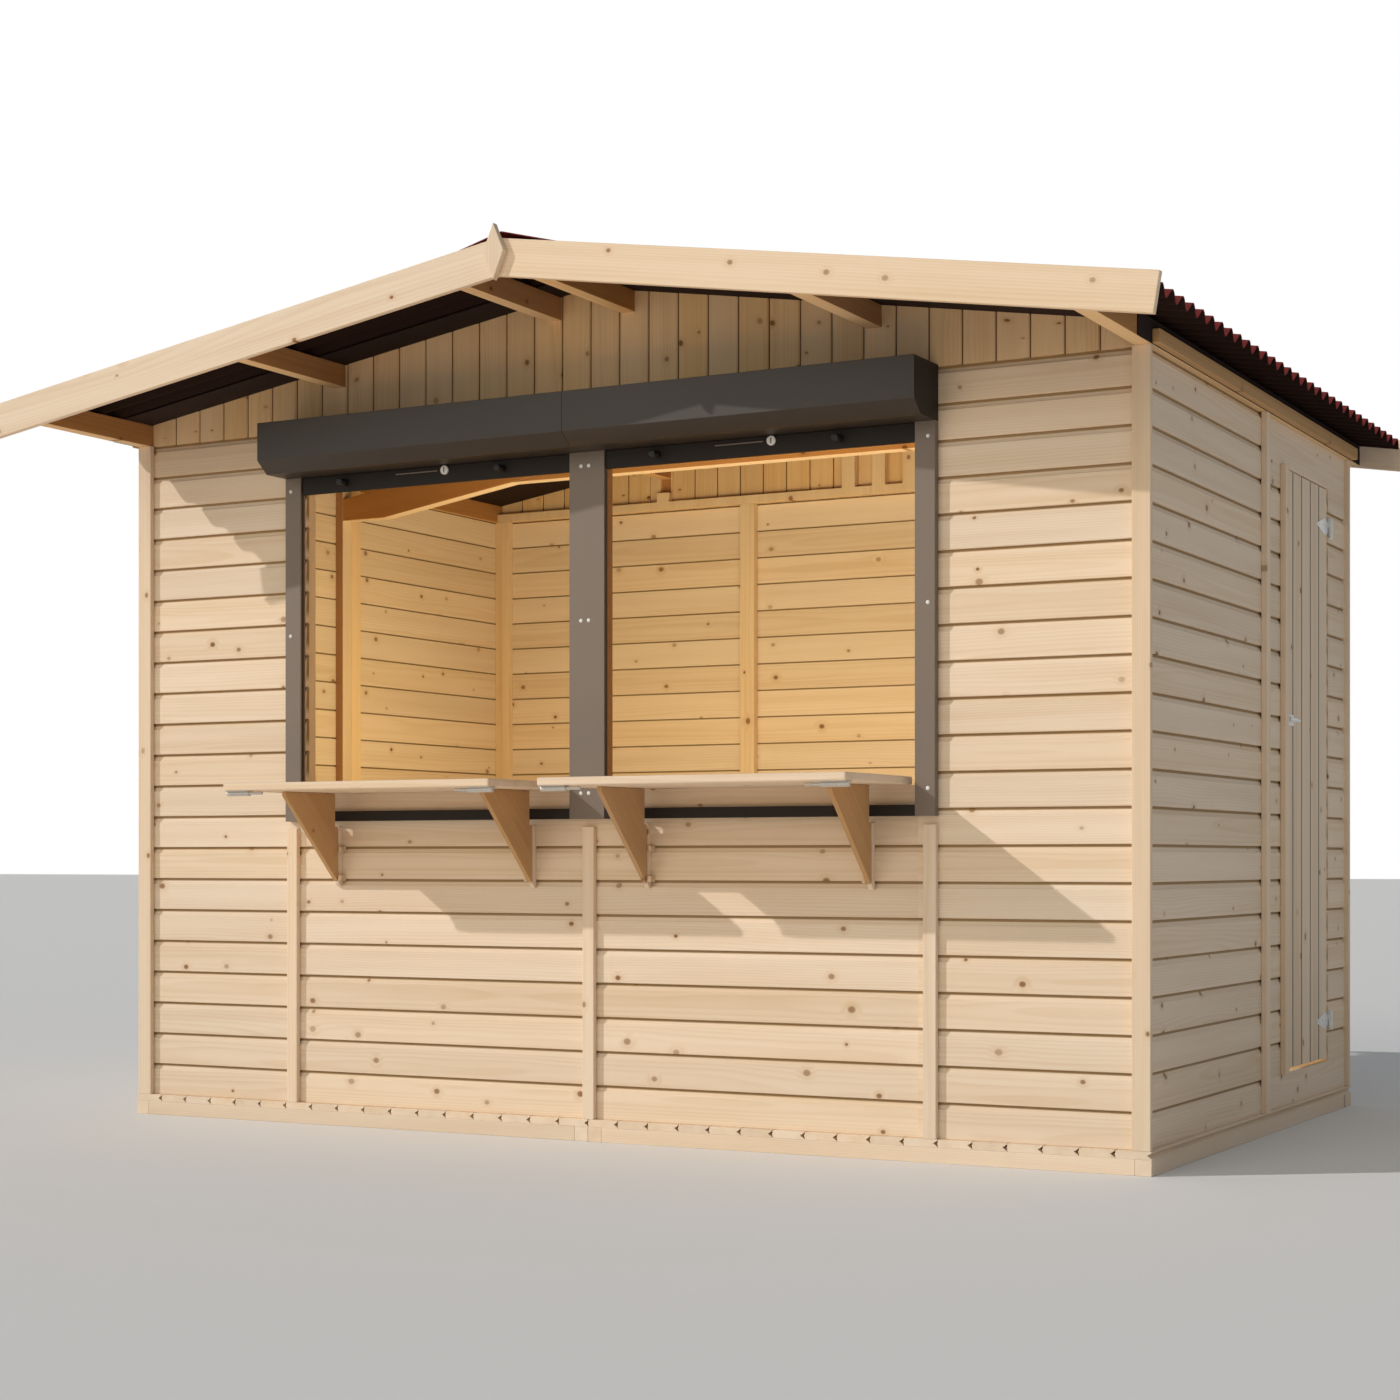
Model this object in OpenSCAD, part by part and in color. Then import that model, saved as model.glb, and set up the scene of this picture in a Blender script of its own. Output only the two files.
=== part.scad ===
// Wooden market stall: panelled timber walls on a boarded floor, a low gabled roof of corrugated
// sheets, two roller shutter units over the serving opening, two hinged counters on swinging
// brackets and a ledged door in the right wall.
// Millimetres, +Z up, the serving front faces -Y, origin on the ground at the centre of the floor.

/* [Floor] */
// Width of the floor, side to side
stall_w = 3000; // [2700:10:3400]
// Depth of the floor, front to back
stall_d = 1880; // [1700:10:2200]
// Height of the joists under the floor
joist_h = 38; // [30:1:60]
// Width of the joists
joist_w = 40; // [30:1:60]
// Thickness of the floor boards
floor_t = 19; // [16:1:28]

/* [Walls] */
// Height that one cladding board covers
board_h = 88; // [84:1:100]
// Number of cladding boards up a wall
board_rows = 21; // [20:1:24]
// Thickness of the wall boards
wall_t = 18; // [16:1:24]
// Thickness of the battens and corner trims outside the boards
batten_t = 16; // [12:1:20]
// Width of the battens over the panel joints
batten_w = 34; // [30:1:60]
// Width of the corner trims
corner_trim_w = 45; // [40:1:80]
// Depth of the studs behind the boards
stud_d = 28; // [24:1:60]
// Width of one stud
stud_w = 26; // [24:1:50]
// Width of each stud at the joint in the middle of a side wall
joint_stud_w = 48; // [36:1:70]
// Distance of the back panel joints from the middle
back_joint_x = 476; // [400:2:600]

/* [Serving opening] */
// Half width of the serving opening between the outer rails
opening_half_w = 915; // [800:5:1000]
// Height of the sill above the floor
sill_h = 848; // [700:2:950]
// Height of the wall above the serving opening
header_h = 145; // [120:1:200]
// Half width of the middle post
mullion_half_w = 52; // [40:1:80]
// Depth of the middle post
post_d = 22; // [18:1:80]

/* [Roller shutters] */
// How far the shutter rails stand proud of the wall boards
rail_t = 22; // [18:1:30]
// Width of the side rails
rail_w = 52; // [40:1:80]
// Height of the bottom rail
bottom_rail_h = 27; // [20:1:40]
// Drop from the sill to the top of the bottom rail
bottom_rail_drop = 48; // [20:1:80]
// Depth of the shutter box from the wall boards
box_d = 146; // [120:1:200]
// Height of the shutter box
box_h = 135; // [110:1:180]
// Height of the slanted lower edge of the shutter box
box_chamfer_h = 33; // [20:1:60]
// Depth of the slanted lower edge of the shutter box
box_chamfer_d = 41; // [20:1:60]
// Height of the shutter's bottom bar below the box
bottom_bar_h = 48; // [30:1:70]

/* [Counters] */
// Depth of a serving counter
counter_d = 384; // [300:4:480]
// Thickness of a serving counter
counter_t = 20; // [16:1:30]
// Gap between a counter and the rails beside it
counter_side_gap = 18; // [10:1:40]
// Reach of a counter bracket
bracket_d = 227; // [200:1:280]
// Height of a counter bracket
bracket_h = 253; // [200:1:280]
// Thickness of a counter bracket
bracket_t = 13; // [10:1:24]
// Distance of the brackets from the ends of their counter
bracket_inset = 102; // [60:1:110]

/* [Door] */
// Distance of the panel joint in the right wall behind its middle
right_joint_y = 45; // [0:1:100]
// Width of the door leaf
door_w = 465; // [420:5:540]
// Distance of the door leaf's latch edge behind the middle of the right wall
door_y = 257; // [220:1:280]
// Height of the wall above the doorway
door_header_h = 112; // [90:1:200]
// Gap under the door leaf
door_bottom_gap = 11; // [6:1:20]

/* [Roof] */
// Slope of the roof in degrees
roof_angle = 9.1; // [6:0.1:14]
// Width of a purlin
purlin_w = 40; // [30:1:60]
// Height of a purlin at its outer face
purlin_h = 54; // [40:1:80]
// Distance of the middle purlins from the ridge
mid_purlin_x = 799; // [600:1:1000]
// Distance of the ridge purlins from the ridge
ridge_purlin_x = 110; // [80:1:200]
// Depth of the truss rafters
rafter_h = 92; // [80:1:140]
// Height of the packers between the rafters and the purlins
packer_h = 42; // [20:1:60]
// Length of the level seat under the foot of a rafter
rafter_seat = 156; // [80:1:200]
// Thickness of the middle truss
truss_t = 46; // [30:1:60]
// Height of the bottom of the truss collar below the wall top
collar_drop = 31; // [10:1:60]
// Depth of the truss collar
collar_h = 90; // [60:1:110]
// Pitch of the corrugations, rounded to whole waves along the roof
wave_pitch = 75; // [60:1:95]
// Full height of the corrugated sheets
wave_h = 27; // [20:1:40]
// Thickness of the corrugated sheets
sheet_t = 3; // [2:0.5:5]
// How far the roof sheets reach beyond the front of the floor
front_overhang = 410; // [200:1:500]
// How far the roof sheets reach beyond the back of the floor
back_overhang = 103; // [60:1:300]
// How far the roof sheets reach beyond the sides of the floor
eave_overhang = 112; // [60:1:200]
// Height of the barge boards
barge_h = 91; // [70:1:140]
// Thickness of the barge boards
barge_t = 18; // [14:1:28]
// Height of the diamond at the ridge
finial_h = 138; // [110:1:200]
// Width of the diamond at the ridge
finial_w = 60; // [40:1:100]

/* [Hidden] */
$fn = 48;

// Shared small sizes
overrun = 2;
seam = 0.5;
seat_gap = 0.3;
lay_gap = 0.1;
swing_gap = 5;

// Colours
spruce = [0.88, 0.74, 0.56];
spruce_inside = [0.82, 0.63, 0.40];
truss_brown = [0.62, 0.38, 0.19];
anthracite = [0.21, 0.20, 0.20];
zinc = [0.72, 0.72, 0.74];
felt_grey = [0.16, 0.15, 0.16];
roof_red = [0.42, 0.17, 0.17];
stop_black = [0.06, 0.06, 0.06];

// Plan of the walls
half_w = stall_w / 2;
half_d = stall_d / 2;
face_x = half_w - batten_t;
face_y = half_d - batten_t;
inner_x = face_x - wall_t;
inner_y = face_y - wall_t;
stud_x = inner_x - stud_d;
stud_y = inner_y - stud_d;
jamb_stud_w = 60;
beam_h = 40;
corner_trim_setback = 3;
joist_bays = 3;

// Levels
floor_top = joist_h + floor_t;
wall_top = floor_top + board_h * board_rows;
sill_top = floor_top + sill_h;
opening_top = wall_top - header_h;
rail_top = sill_top - bottom_rail_drop;
rail_foot = rail_top - bottom_rail_h;
batten_gap = 20;
door_sill_top = floor_top + board_h;
door_head = wall_top - door_header_h;

// Roof lines, as heights over the ridge, and the places of the purlins
roof_tan = tan(roof_angle);
roof_cos = cos(roof_angle);
roof_sin = sin(roof_angle);
eave_purlin_setback = 2;
eave_purlin_out = half_w - eave_purlin_setback;
eave_purlin_in = eave_purlin_out - purlin_w;
ridge_z = wall_top + purlin_h + eave_purlin_out * roof_tan;
felt_t = 3;
felt_front = 100;
felt_top_z = ridge_z + felt_t / roof_cos;
crest_z = felt_top_z + wave_h / roof_cos;
purlin_outs = [mid_purlin_x + purlin_w / 2, ridge_purlin_x + purlin_w / 2];
rafter_top_z = ridge_z - purlin_h - packer_h - purlin_w * roof_tan;
rafter_foot_z = rafter_top_z - rafter_h / roof_cos;
truss_y = [-joint_stud_w, truss_t - joint_stud_w];
collar_z = wall_top - collar_drop;
gable_rail_h = 28;
gable_stud_w = 46;
notch_drop = 50;

// Roof edges
sheet_front = -half_d - front_overhang;
sheet_back = half_d + back_overhang;
sheet_length = sheet_back - sheet_front;
wave_count = round(sheet_length / wave_pitch);
sheet_edge = half_w + eave_overhang;
wave_steps = 8;
sheet_ridge_gap = 5;
barge_lip = 1;
barge_beyond = 30;
barge_top_z = crest_z + barge_lip;
barge_foot_z = barge_top_z - barge_h / roof_cos;
barge_end = sheet_edge + barge_beyond;
finial_drop_share = 0.094;
finial_z = barge_foot_z - finial_drop_share * finial_h;
cap_half_w = 170;
cap_rise = 21;
eave_board_t = 18;
eave_board_h = 33;

// Shutter parts
box_rise = 4;
box_foot = wall_top + box_rise - box_h;
box_half_w = opening_half_w + rail_w;
guide_w = 10;
guide_d = 16;
bar_t = 12;
bar_gap = 2;
bar_y = -face_y - rail_t / 2;
stop_r = 9;
stop_l = 34;
stop_z = box_foot - bottom_bar_h / 2;
stop_shares = [-0.836, -0.282, 0.226, 0.782];
lock_r = 12;
lock_l = 6;
lock_z = box_foot - lock_r - overrun;
lock_shares = [-0.482, 0.579];

// Counters and their hinges
knuckle_r = 5;
hinge_l = 60;
hinge_leaf_t = 2;
hinge_leaf_w = 30;
counter_seat = 8;
counter_back = counter_seat - face_y;
counter_front = counter_back - counter_d;
counter_in = mullion_half_w + counter_side_gap;
counter_out = opening_half_w - counter_side_gap;
counter_foot = sill_top + seat_gap;
counter_axis_y = counter_back + seat_gap + knuckle_r;
counter_axis_z = sill_top + knuckle_r;
counter_hinge_shares = [0.2, 0.8];
bolt_l = 112;
bolt_plate_l = 72;
bolt_plate_w = 30;
bolt_r = 7;
bolt_rod_r = 4;
bolt_inset = 22;

// Brackets and their hinges
bracket_inner_x = counter_in + bracket_inset;
bracket_outer_x = counter_out - bracket_inset;
bracket_top = sill_top;
bracket_foot = bracket_top - bracket_h;
bracket_pin_r = 6;
bracket_axis_side = bracket_pin_r + seat_gap;
bracket_axis_v = rail_t + swing_gap - bracket_axis_side;
bracket_back_v = bracket_axis_v + overrun;
bracket_tip_v = bracket_back_v + bracket_d;
bracket_toe = 9;
bracket_nose = 12;
relief_gap = 12;
relief_v = rail_t + relief_gap;
relief_drop = 15;
cleat_d = bracket_back_v - swing_gap;
cleat_top = rail_foot - relief_drop;
bracket_hinge_h = 16;
bracket_plate_w = 10;
bracket_hinge_shares = [0.07, 0.375];

// Door and its fittings
door_gap = 7;
door_latch_edge = door_y;
door_hinge_edge = door_y + door_w;
door_jamb_gap = 10;
door_foot = door_sill_top + door_bottom_gap;
door_top = door_head - swing_gap;
door_trim_w = 35;
door_axis_side = 8;
door_axis_x = face_x + door_axis_side;
door_axis_y = door_hinge_edge + door_jamb_gap / 2;
door_hinge_r = 6;
door_hinge_l = 56;
door_hinge_inset = 108;
strap_l = 128;
strap_h = 50;
strap_neck_share = 0.3;
plate_l = 46;
ledge_t = 18;
ledge_h = 90;
ledge_inset = 35;
ledge_shares = [0.09, 0.5, 0.91];
door_bolt_share = 0.583;
door_bolt_inset = 20;

// Height of a line parallel to the roof at a distance from the ridge
function on_slope(top, x) = top - abs(x) * roof_tan;

// A box between two corners given as ranges along X, Y and Z
module block(x, y, z) {
    translate([x[0], y[0], z[0]])
        cube([x[1] - x[0], y[1] - y[0], z[1] - z[0]]);
}

// A rectangle between two corners given as ranges
module block_2d(x, z) {
    translate([x[0], z[0]])
        square([x[1] - x[0], z[1] - z[0]]);
}

// Children drawn in X and Z, drawn out between two places along Y
module along_y(y) {
    translate([0, y[1], 0])
        rotate([90, 0, 0])
            linear_extrude(height = y[1] - y[0])
                children();
}

// Children drawn in Y and Z, drawn out between two places along X
module along_x(x) {
    translate([x[0], 0, 0])
        rotate([90, 0, 90])
            linear_extrude(height = x[1] - x[0])
                children();
}

// Children and their mirror image across the middle of the stall
module both_sides() {
    children();
    mirror([1, 0, 0]) children();
}

// Children and their mirror image from front to back
module front_and_back() {
    children();
    mirror([0, 1, 0]) children();
}

// Front-to-back joists of the two floor sections
module floor_joists() {
    span = half_w - seam / 2 - joist_w;
    color(spruce)
        both_sides() {
            for (x = [seam / 2, half_w - joist_w])
                block([x, x + joist_w], [-half_d, half_d], [0, joist_h]);
            for (i = [1 : joist_bays - 1]) {
                x = seam / 2 + span * i / joist_bays;
                block([x, x + joist_w], [joist_w - half_d, half_d - joist_w], [0, joist_h]);
            }
        }
}

// Front and back rims between the end joists of each floor section
module floor_rims() {
    color(spruce)
        both_sides()
            front_and_back()
                block([seam / 2 + joist_w, half_w - joist_w], [-half_d, joist_w - half_d], [0, joist_h]);
}

// Two boarded floor sections
module floor_boards() {
    color(spruce)
        both_sides()
            block([seam / 2, half_w], [-half_d, half_d], [joist_h, floor_top]);
}

// Clad panels at either side of the serving opening
module front_side_panels() {
    color(spruce)
        both_sides()
            block([opening_half_w, inner_x], [-face_y, -inner_y], [floor_top, wall_top]);
}

// Clad wall under the serving opening
module front_breast_wall() {
    color(spruce)
        block([-opening_half_w, opening_half_w], [-face_y, -inner_y], [floor_top, sill_top]);
}

// Post between the two serving openings
module front_post() {
    color(spruce_inside)
        block([-mullion_half_w, mullion_half_w], [-face_y, post_d - face_y], [sill_top, opening_top]);
}

// Clad wall behind the shutter boxes
module front_header() {
    color(spruce)
        block([-opening_half_w, opening_half_w], [-face_y, -inner_y], [opening_top, wall_top]);
}

// Section of a purlin with its top cut to the slope, reaching above the roof line by the given rise
module purlin_section(out, foot, rise = 0) {
    polygon([
        [out - purlin_w, foot],
        [out, foot],
        [out, on_slope(ridge_z, out) + rise],
        [out - purlin_w, on_slope(ridge_z, out - purlin_w) + rise]
    ]);
}

// One gable notched round the purlins, the notches of the middle purlins deeper by the given drop
module gable(y, drop) {
    along_y(y)
        difference() {
            polygon([
                [-eave_purlin_in, wall_top],
                [eave_purlin_in, wall_top],
                [eave_purlin_in, on_slope(ridge_z, eave_purlin_in)],
                [0, ridge_z],
                [-eave_purlin_in, on_slope(ridge_z, eave_purlin_in)]
            ]);
            both_sides()
                for (notch = [[purlin_outs[0], drop], [purlin_outs[1], 0]])
                    purlin_section(notch[0], on_slope(ridge_z, notch[0]) - purlin_h - notch[1], overrun);
        }
}

// Front and back gables, the back one with room to slide the middle purlins in
module gables() {
    color(spruce) {
        gable([-face_y, -inner_y], 0);
        gable([inner_y, face_y], notch_drop);
    }
}

// Rails along the feet of the gables inside, with uprights to the ridge and under the purlins
module gable_frames() {
    top = wall_top + gable_rail_h;
    color(spruce_inside)
        front_and_back()
            along_y([-inner_y, -stud_y]) {
                block_2d([-eave_purlin_in, eave_purlin_in], [wall_top, top]);
                upright([-gable_stud_w / 2, gable_stud_w / 2], on_slope(ridge_z, gable_stud_w / 2) - felt_t);
                both_sides() {
                    ridge_out = purlin_outs[1];
                    upright([ridge_out - gable_stud_w, ridge_out],
                        on_slope(ridge_z, ridge_out) - purlin_h - lay_gap);
                    mid_out = purlin_outs[0];
                    upright([mid_out - gable_stud_w, mid_out],
                        on_slope(ridge_z, mid_out) - purlin_h - notch_drop - lay_gap);
                }
            }
}

// An upright of a gable frame, from inside the rail to the given height
module upright(x, top) {
    block_2d(x, [wall_top, top]);
}

// Two clad panels of the left wall
module left_wall() {
    color(spruce)
        front_and_back()
            block([-face_x, -inner_x], [-face_y, -seam / 2], [floor_top, wall_top]);
}

// Three clad panels of the back wall
module back_wall() {
    color(spruce) {
        both_sides()
            block([back_joint_x + seam / 2, inner_x], [inner_y, face_y], [floor_top, wall_top]);
        block([seam / 2 - back_joint_x, back_joint_x - seam / 2], [inner_y, face_y], [floor_top, wall_top]);
    }
}

// Front panel of the right wall
module right_wall_front() {
    color(spruce)
        block([inner_x, face_x], [-face_y, right_joint_y - seam / 2], [floor_top, wall_top]);
}

// Clad strips at either side of the doorway
module door_side_panels() {
    color(spruce) {
        block([inner_x, face_x], [right_joint_y + seam / 2, door_latch_edge - door_gap],
            [door_sill_top, door_head]);
        block([inner_x, face_x], [door_hinge_edge + door_jamb_gap, face_y], [door_sill_top, door_head]);
    }
}

// Plain boards under and over the doorway
module door_sill_and_header() {
    color(spruce)
        for (z = [[floor_top, door_sill_top], [door_head, wall_top]])
            block([inner_x, face_x], [right_joint_y + seam / 2, face_y], z);
}

// Corner and jamb studs of the front wall
module front_studs() {
    color(spruce_inside)
        both_sides()
            for (x = [[stud_x - stud_w, stud_x], [opening_half_w, opening_half_w + jamb_stud_w]])
                block(x, [-inner_y, -stud_y], [floor_top, wall_top]);
}

// Beams behind the boards under and over the serving opening
module front_beams() {
    color(spruce_inside)
        for (z = [[sill_top - beam_h, sill_top], [opening_top, opening_top + beam_h]])
            block([-opening_half_w, opening_half_w], [-inner_y, -stud_y], z);
}

// Corner and panel joint studs of the back wall
module back_studs() {
    color(spruce_inside)
        both_sides()
            for (x = [[stud_x - stud_w, stud_x], [back_joint_x - stud_w, back_joint_x + stud_w]])
                block(x, [stud_y, inner_y], [floor_top, wall_top]);
}

// Corner studs, pairs of studs at the panel joints and doorway studs along the side walls
module side_posts() {
    color(spruce_inside) {
        both_sides()
            front_and_back()
                block([stud_x, inner_x], [-inner_y, -stud_y], [floor_top, wall_top]);
        front_and_back()
            block([-inner_x, -stud_x], [-joint_stud_w, -seam / 2], [floor_top, wall_top]);
        for (y = [
            [-joint_stud_w, right_joint_y - seam / 2],
            [right_joint_y + seam / 2, right_joint_y + joint_stud_w],
            [door_latch_edge - door_gap - stud_w, door_latch_edge - door_gap],
            [door_hinge_edge + door_jamb_gap, door_hinge_edge + door_jamb_gap + stud_w]
        ])
            block([stud_x, inner_x], y, [floor_top, wall_top]);
    }
}

// Corner trims and the battens over the panel joints
module outer_battens() {
    trim_out = half_w - corner_trim_setback;
    color(spruce) {
        both_sides() {
            front_and_back()
                block([trim_out - corner_trim_w, trim_out], [-half_d, -face_y], [floor_top, wall_top]);
            block([back_joint_x - batten_w / 2, back_joint_x + batten_w / 2], [face_y, half_d],
                [floor_top, wall_top]);
        }
        block([-half_w, -face_x], [-batten_w / 2, batten_w / 2], [floor_top, wall_top]);
        block([face_x, half_w], [right_joint_y - batten_w / 2, right_joint_y + batten_w / 2],
            [floor_top, wall_top]);
        outer = box_half_w - batten_w / 2;
        for (x = [-outer, 0, outer])
            block([x - batten_w / 2, x + batten_w / 2], [-half_d, -face_y],
                [floor_top, rail_foot - batten_gap]);
    }
}

// Upright trim on the latch side of the doorway
module door_trim() {
    y = door_latch_edge - door_gap;
    color(spruce)
        block([face_x, half_w], [y - door_trim_w, y], [door_sill_top, door_head]);
}

// Six purlins that run through the gables from barge board to barge board
module purlins() {
    color(spruce)
        both_sides()
            along_y([sheet_front, sheet_back]) {
                purlin_section(eave_purlin_out, wall_top);
                for (out = purlin_outs)
                    purlin_section(out, on_slope(ridge_z, out) - purlin_h);
            }
}

// One rafter of the middle truss with its level seat and its packers, drawn on the right
module rafter() {
    seat_x = stud_x - rafter_seat;
    color(truss_brown)
        along_y(truss_y) {
            polygon([
                [0, rafter_foot_z],
                [seat_x, on_slope(rafter_foot_z, seat_x)],
                [stud_x, on_slope(rafter_foot_z, seat_x)],
                [stud_x, on_slope(rafter_top_z, stud_x)],
                [0, rafter_top_z]
            ]);
            for (out = purlin_outs)
                block_2d([out - purlin_w, out],
                    [on_slope(rafter_top_z, out) - overrun, on_slope(ridge_z, out) - purlin_h]);
        }
}

module truss_rafter_left() {
    mirror([1, 0, 0]) rafter();
}

module truss_rafter_right() {
    rafter();
}

// Collar between the rafters, its ends cut to their undersides
module truss_collar() {
    cut_z = rafter_foot_z - lay_gap;
    foot_x = (cut_z - collar_z) / roof_tan;
    top_z = collar_z + collar_h;
    top_x = (cut_z - top_z) / roof_tan;
    color(truss_brown)
        along_y(truss_y)
            polygon([[-foot_x, collar_z], [foot_x, collar_z], [top_x, top_z], [-top_x, top_z]]);
}

// Roofing felt over the purlins, turned down over the eave purlins
module roof_felt() {
    fold_x = eave_purlin_out + felt_t;
    under_z = ridge_z + lay_gap;
    half = [
        [0, under_z],
        [eave_purlin_out, on_slope(under_z, eave_purlin_out)],
        [eave_purlin_out, wall_top],
        [fold_x, wall_top],
        [fold_x, on_slope(felt_top_z, fold_x)],
        [0, felt_top_z]
    ];
    color(felt_grey)
        along_y([-half_d - felt_front, sheet_back - felt_t])
            polygon(concat(half, [for (i = [len(half) - 2 : -1 : 1]) [-half[i][0], half[i][1]]]));
}

// Height of the underside of the corrugations at a share of the way along the sheet
function wave_rise(i) = (wave_h - sheet_t) / 2 * (1 - cos(360 * i / wave_steps));

// Outline of the corrugated sheet across its waves
module wave_outline() {
    count = wave_count * wave_steps;
    step = sheet_length / count;
    polygon(concat(
        [for (i = [0 : count]) [sheet_front + i * step, wave_rise(i)]],
        [for (i = [count : -1 : 0]) [sheet_front + i * step, wave_rise(i) + sheet_t]]
    ));
}

// Two corrugated sheets laid down the slopes
module roof_sheets() {
    run = sheet_edge / roof_cos - sheet_ridge_gap;
    color(roof_red)
        both_sides()
            translate([0, 0, felt_top_z])
                rotate([0, roof_angle, 0])
                    translate([sheet_ridge_gap, 0, 0])
                        rotate([90, 0, 90])
                            linear_extrude(height = run)
                                wave_outline();
}

// Ridge cap: two wings from the crests up to a raised fold over the ridge
module ridge_cap() {
    wing = sheet_t / roof_cos;
    edge_z = on_slope(crest_z, cap_half_w) + lay_gap;
    fold_z = crest_z + cap_rise;
    color(roof_red)
        along_y([sheet_front, sheet_back])
            polygon([
                [0, fold_z - wing],
                [cap_half_w, edge_z],
                [cap_half_w, edge_z + wing],
                [0, fold_z],
                [-cap_half_w, edge_z + wing],
                [-cap_half_w, edge_z]
            ]);
}

// Front and back barge boards of the right slope, square cut at the eave and mitred at the ridge
module barge_pair() {
    foot = [barge_end, on_slope(barge_foot_z, barge_end)];
    color(spruce)
        for (y = [[sheet_front - barge_t, sheet_front], [sheet_back, sheet_back + barge_t]])
            along_y(y)
                polygon([
                    [0, barge_foot_z],
                    foot,
                    foot + barge_h * [roof_sin, roof_cos],
                    [0, barge_top_z]
                ]);
}

module barge_boards_left() {
    mirror([1, 0, 0]) barge_pair();
}

module barge_boards_right() {
    barge_pair();
}

// Diamond boards over the mitres of the barge boards
module ridge_finials() {
    front = sheet_front - barge_t;
    back = sheet_back + barge_t;
    color(spruce)
        for (y = [[front - barge_t, front], [back, back + barge_t]])
            along_y(y)
                translate([0, finial_z + finial_h / 2])
                    polygon([[0, -finial_h / 2], [finial_w / 2, 0], [0, finial_h / 2], [-finial_w / 2, 0]]);
}

// Boards that hold the felt along the eaves
module eave_boards() {
    x = eave_purlin_out + felt_t;
    color(spruce)
        both_sides()
            block([x, x + eave_board_t], [-half_d, half_d], [wall_top, wall_top + eave_board_h]);
}

// Two shutter boxes with a slanted lower edge
module shutter_boxes() {
    top = box_foot + box_h;
    front = -face_y - box_d;
    color(anthracite)
        both_sides()
            along_x([seam / 2, box_half_w])
                polygon([
                    [-face_y, box_foot],
                    [front + box_chamfer_d, box_foot],
                    [front, box_foot + box_chamfer_h],
                    [front, top],
                    [-face_y, top]
                ]);
}

// A guide rail between two places along X, with slots for the shutters
module guide_rail(x, slots) {
    color(anthracite)
        difference() {
            block(x, [-face_y - rail_t, -face_y], [rail_foot, box_foot]);
            for (slot_x = slots)
                block(slot_x, [bar_y - guide_w / 2, bar_y + guide_w / 2],
                    [rail_top + bottom_rail_h, box_foot + overrun]);
        }
}

// Side rails and the middle rail that both shutters share
module shutter_rails() {
    slot_out = mullion_half_w + overrun;
    slot_in = mullion_half_w - guide_d;
    both_sides()
        guide_rail([opening_half_w, box_half_w], [[opening_half_w - overrun, opening_half_w + guide_d]]);
    guide_rail([-mullion_half_w, mullion_half_w], [[-slot_out, -slot_in], [slot_in, slot_out]]);
}

// Bottom rails of the two shutter frames
module shutter_sill_rails() {
    color(anthracite)
        both_sides()
            block([mullion_half_w, opening_half_w], [-face_y - rail_t, -face_y], [rail_foot, rail_top]);
}

// Bottom bars of the rolled-up shutters
module shutter_bars() {
    color(anthracite)
        both_sides()
            block([mullion_half_w + bar_gap, opening_half_w - bar_gap],
                [bar_y - bar_t / 2, bar_y + bar_t / 2], [box_foot - bottom_bar_h, box_foot]);
}

// Round stops on the bottom bars
module shutter_stops() {
    color(stop_black)
        for (share = stop_shares)
            translate([share * opening_half_w, bar_y - bar_t / 2, stop_z])
                rotate([90, 0, 0])
                    cylinder(r = stop_r, h = stop_l);
}

// Round lock faces on the bottom bars
module shutter_locks() {
    color(zinc)
        for (share = lock_shares)
            translate([share * opening_half_w, bar_y - bar_t / 2, lock_z])
                rotate([90, 0, 0])
                    cylinder(r = lock_r, h = lock_l);
}

// Knuckles and leaves of the counter hinges on the sill
module counter_hinges() {
    color(zinc)
        both_sides()
            for (share = counter_hinge_shares) {
                x = counter_in + share * (counter_out - counter_in);
                translate([x - hinge_l / 2, counter_axis_y, counter_axis_z])
                    rotate([0, 90, 0])
                        cylinder(r = knuckle_r, h = hinge_l);
                block([x - hinge_l / 2, x + hinge_l / 2],
                    [counter_axis_y, counter_axis_y + hinge_leaf_w], [sill_top, sill_top + hinge_leaf_t]);
            }
}

// A counter board, drawn on the right
module counter_board() {
    color(spruce)
        block([counter_in, counter_out], [counter_front, counter_back],
            [counter_foot, counter_foot + counter_t]);
}

// A sliding bolt under the counter's front edge, its rod towards the given end
module counter_bolt(end_x, way) {
    y = counter_front + bolt_inset;
    x = way > 0 ? end_x - bolt_l : end_x;
    plate_x = way > 0 ? end_x - bolt_plate_l : end_x;
    color(zinc) {
        block([plate_x, plate_x + bolt_plate_l], [y - bolt_plate_w / 2, y + bolt_plate_w / 2],
            [counter_foot - hinge_leaf_t, counter_foot]);
        translate([plate_x, y, counter_foot - bolt_r])
            rotate([0, 90, 0])
                cylinder(r = bolt_r, h = bolt_plate_l);
        translate([x, y, counter_foot - bolt_r])
            rotate([0, 90, 0])
                cylinder(r = bolt_rod_r, h = bolt_l);
    }
}

// The two sliding bolts of a counter, drawn on the right
module counter_bolts() {
    counter_bolt(counter_in, -1);
    counter_bolt(counter_out, 1);
}

module counter_left() {
    mirror([1, 0, 0]) counter_board();
}

module counter_right() {
    counter_board();
}

module counter_left_bolts() {
    mirror([1, 0, 0]) counter_bolts();
}

module counter_right_bolts() {
    counter_bolts();
}

// Height of the slanted edge of a bracket and its cleat at a distance from the wall
function bracket_edge(v) = bracket_foot
    + (v - bracket_toe) * (bracket_h - bracket_nose) / (bracket_tip_v - bracket_toe);

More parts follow.
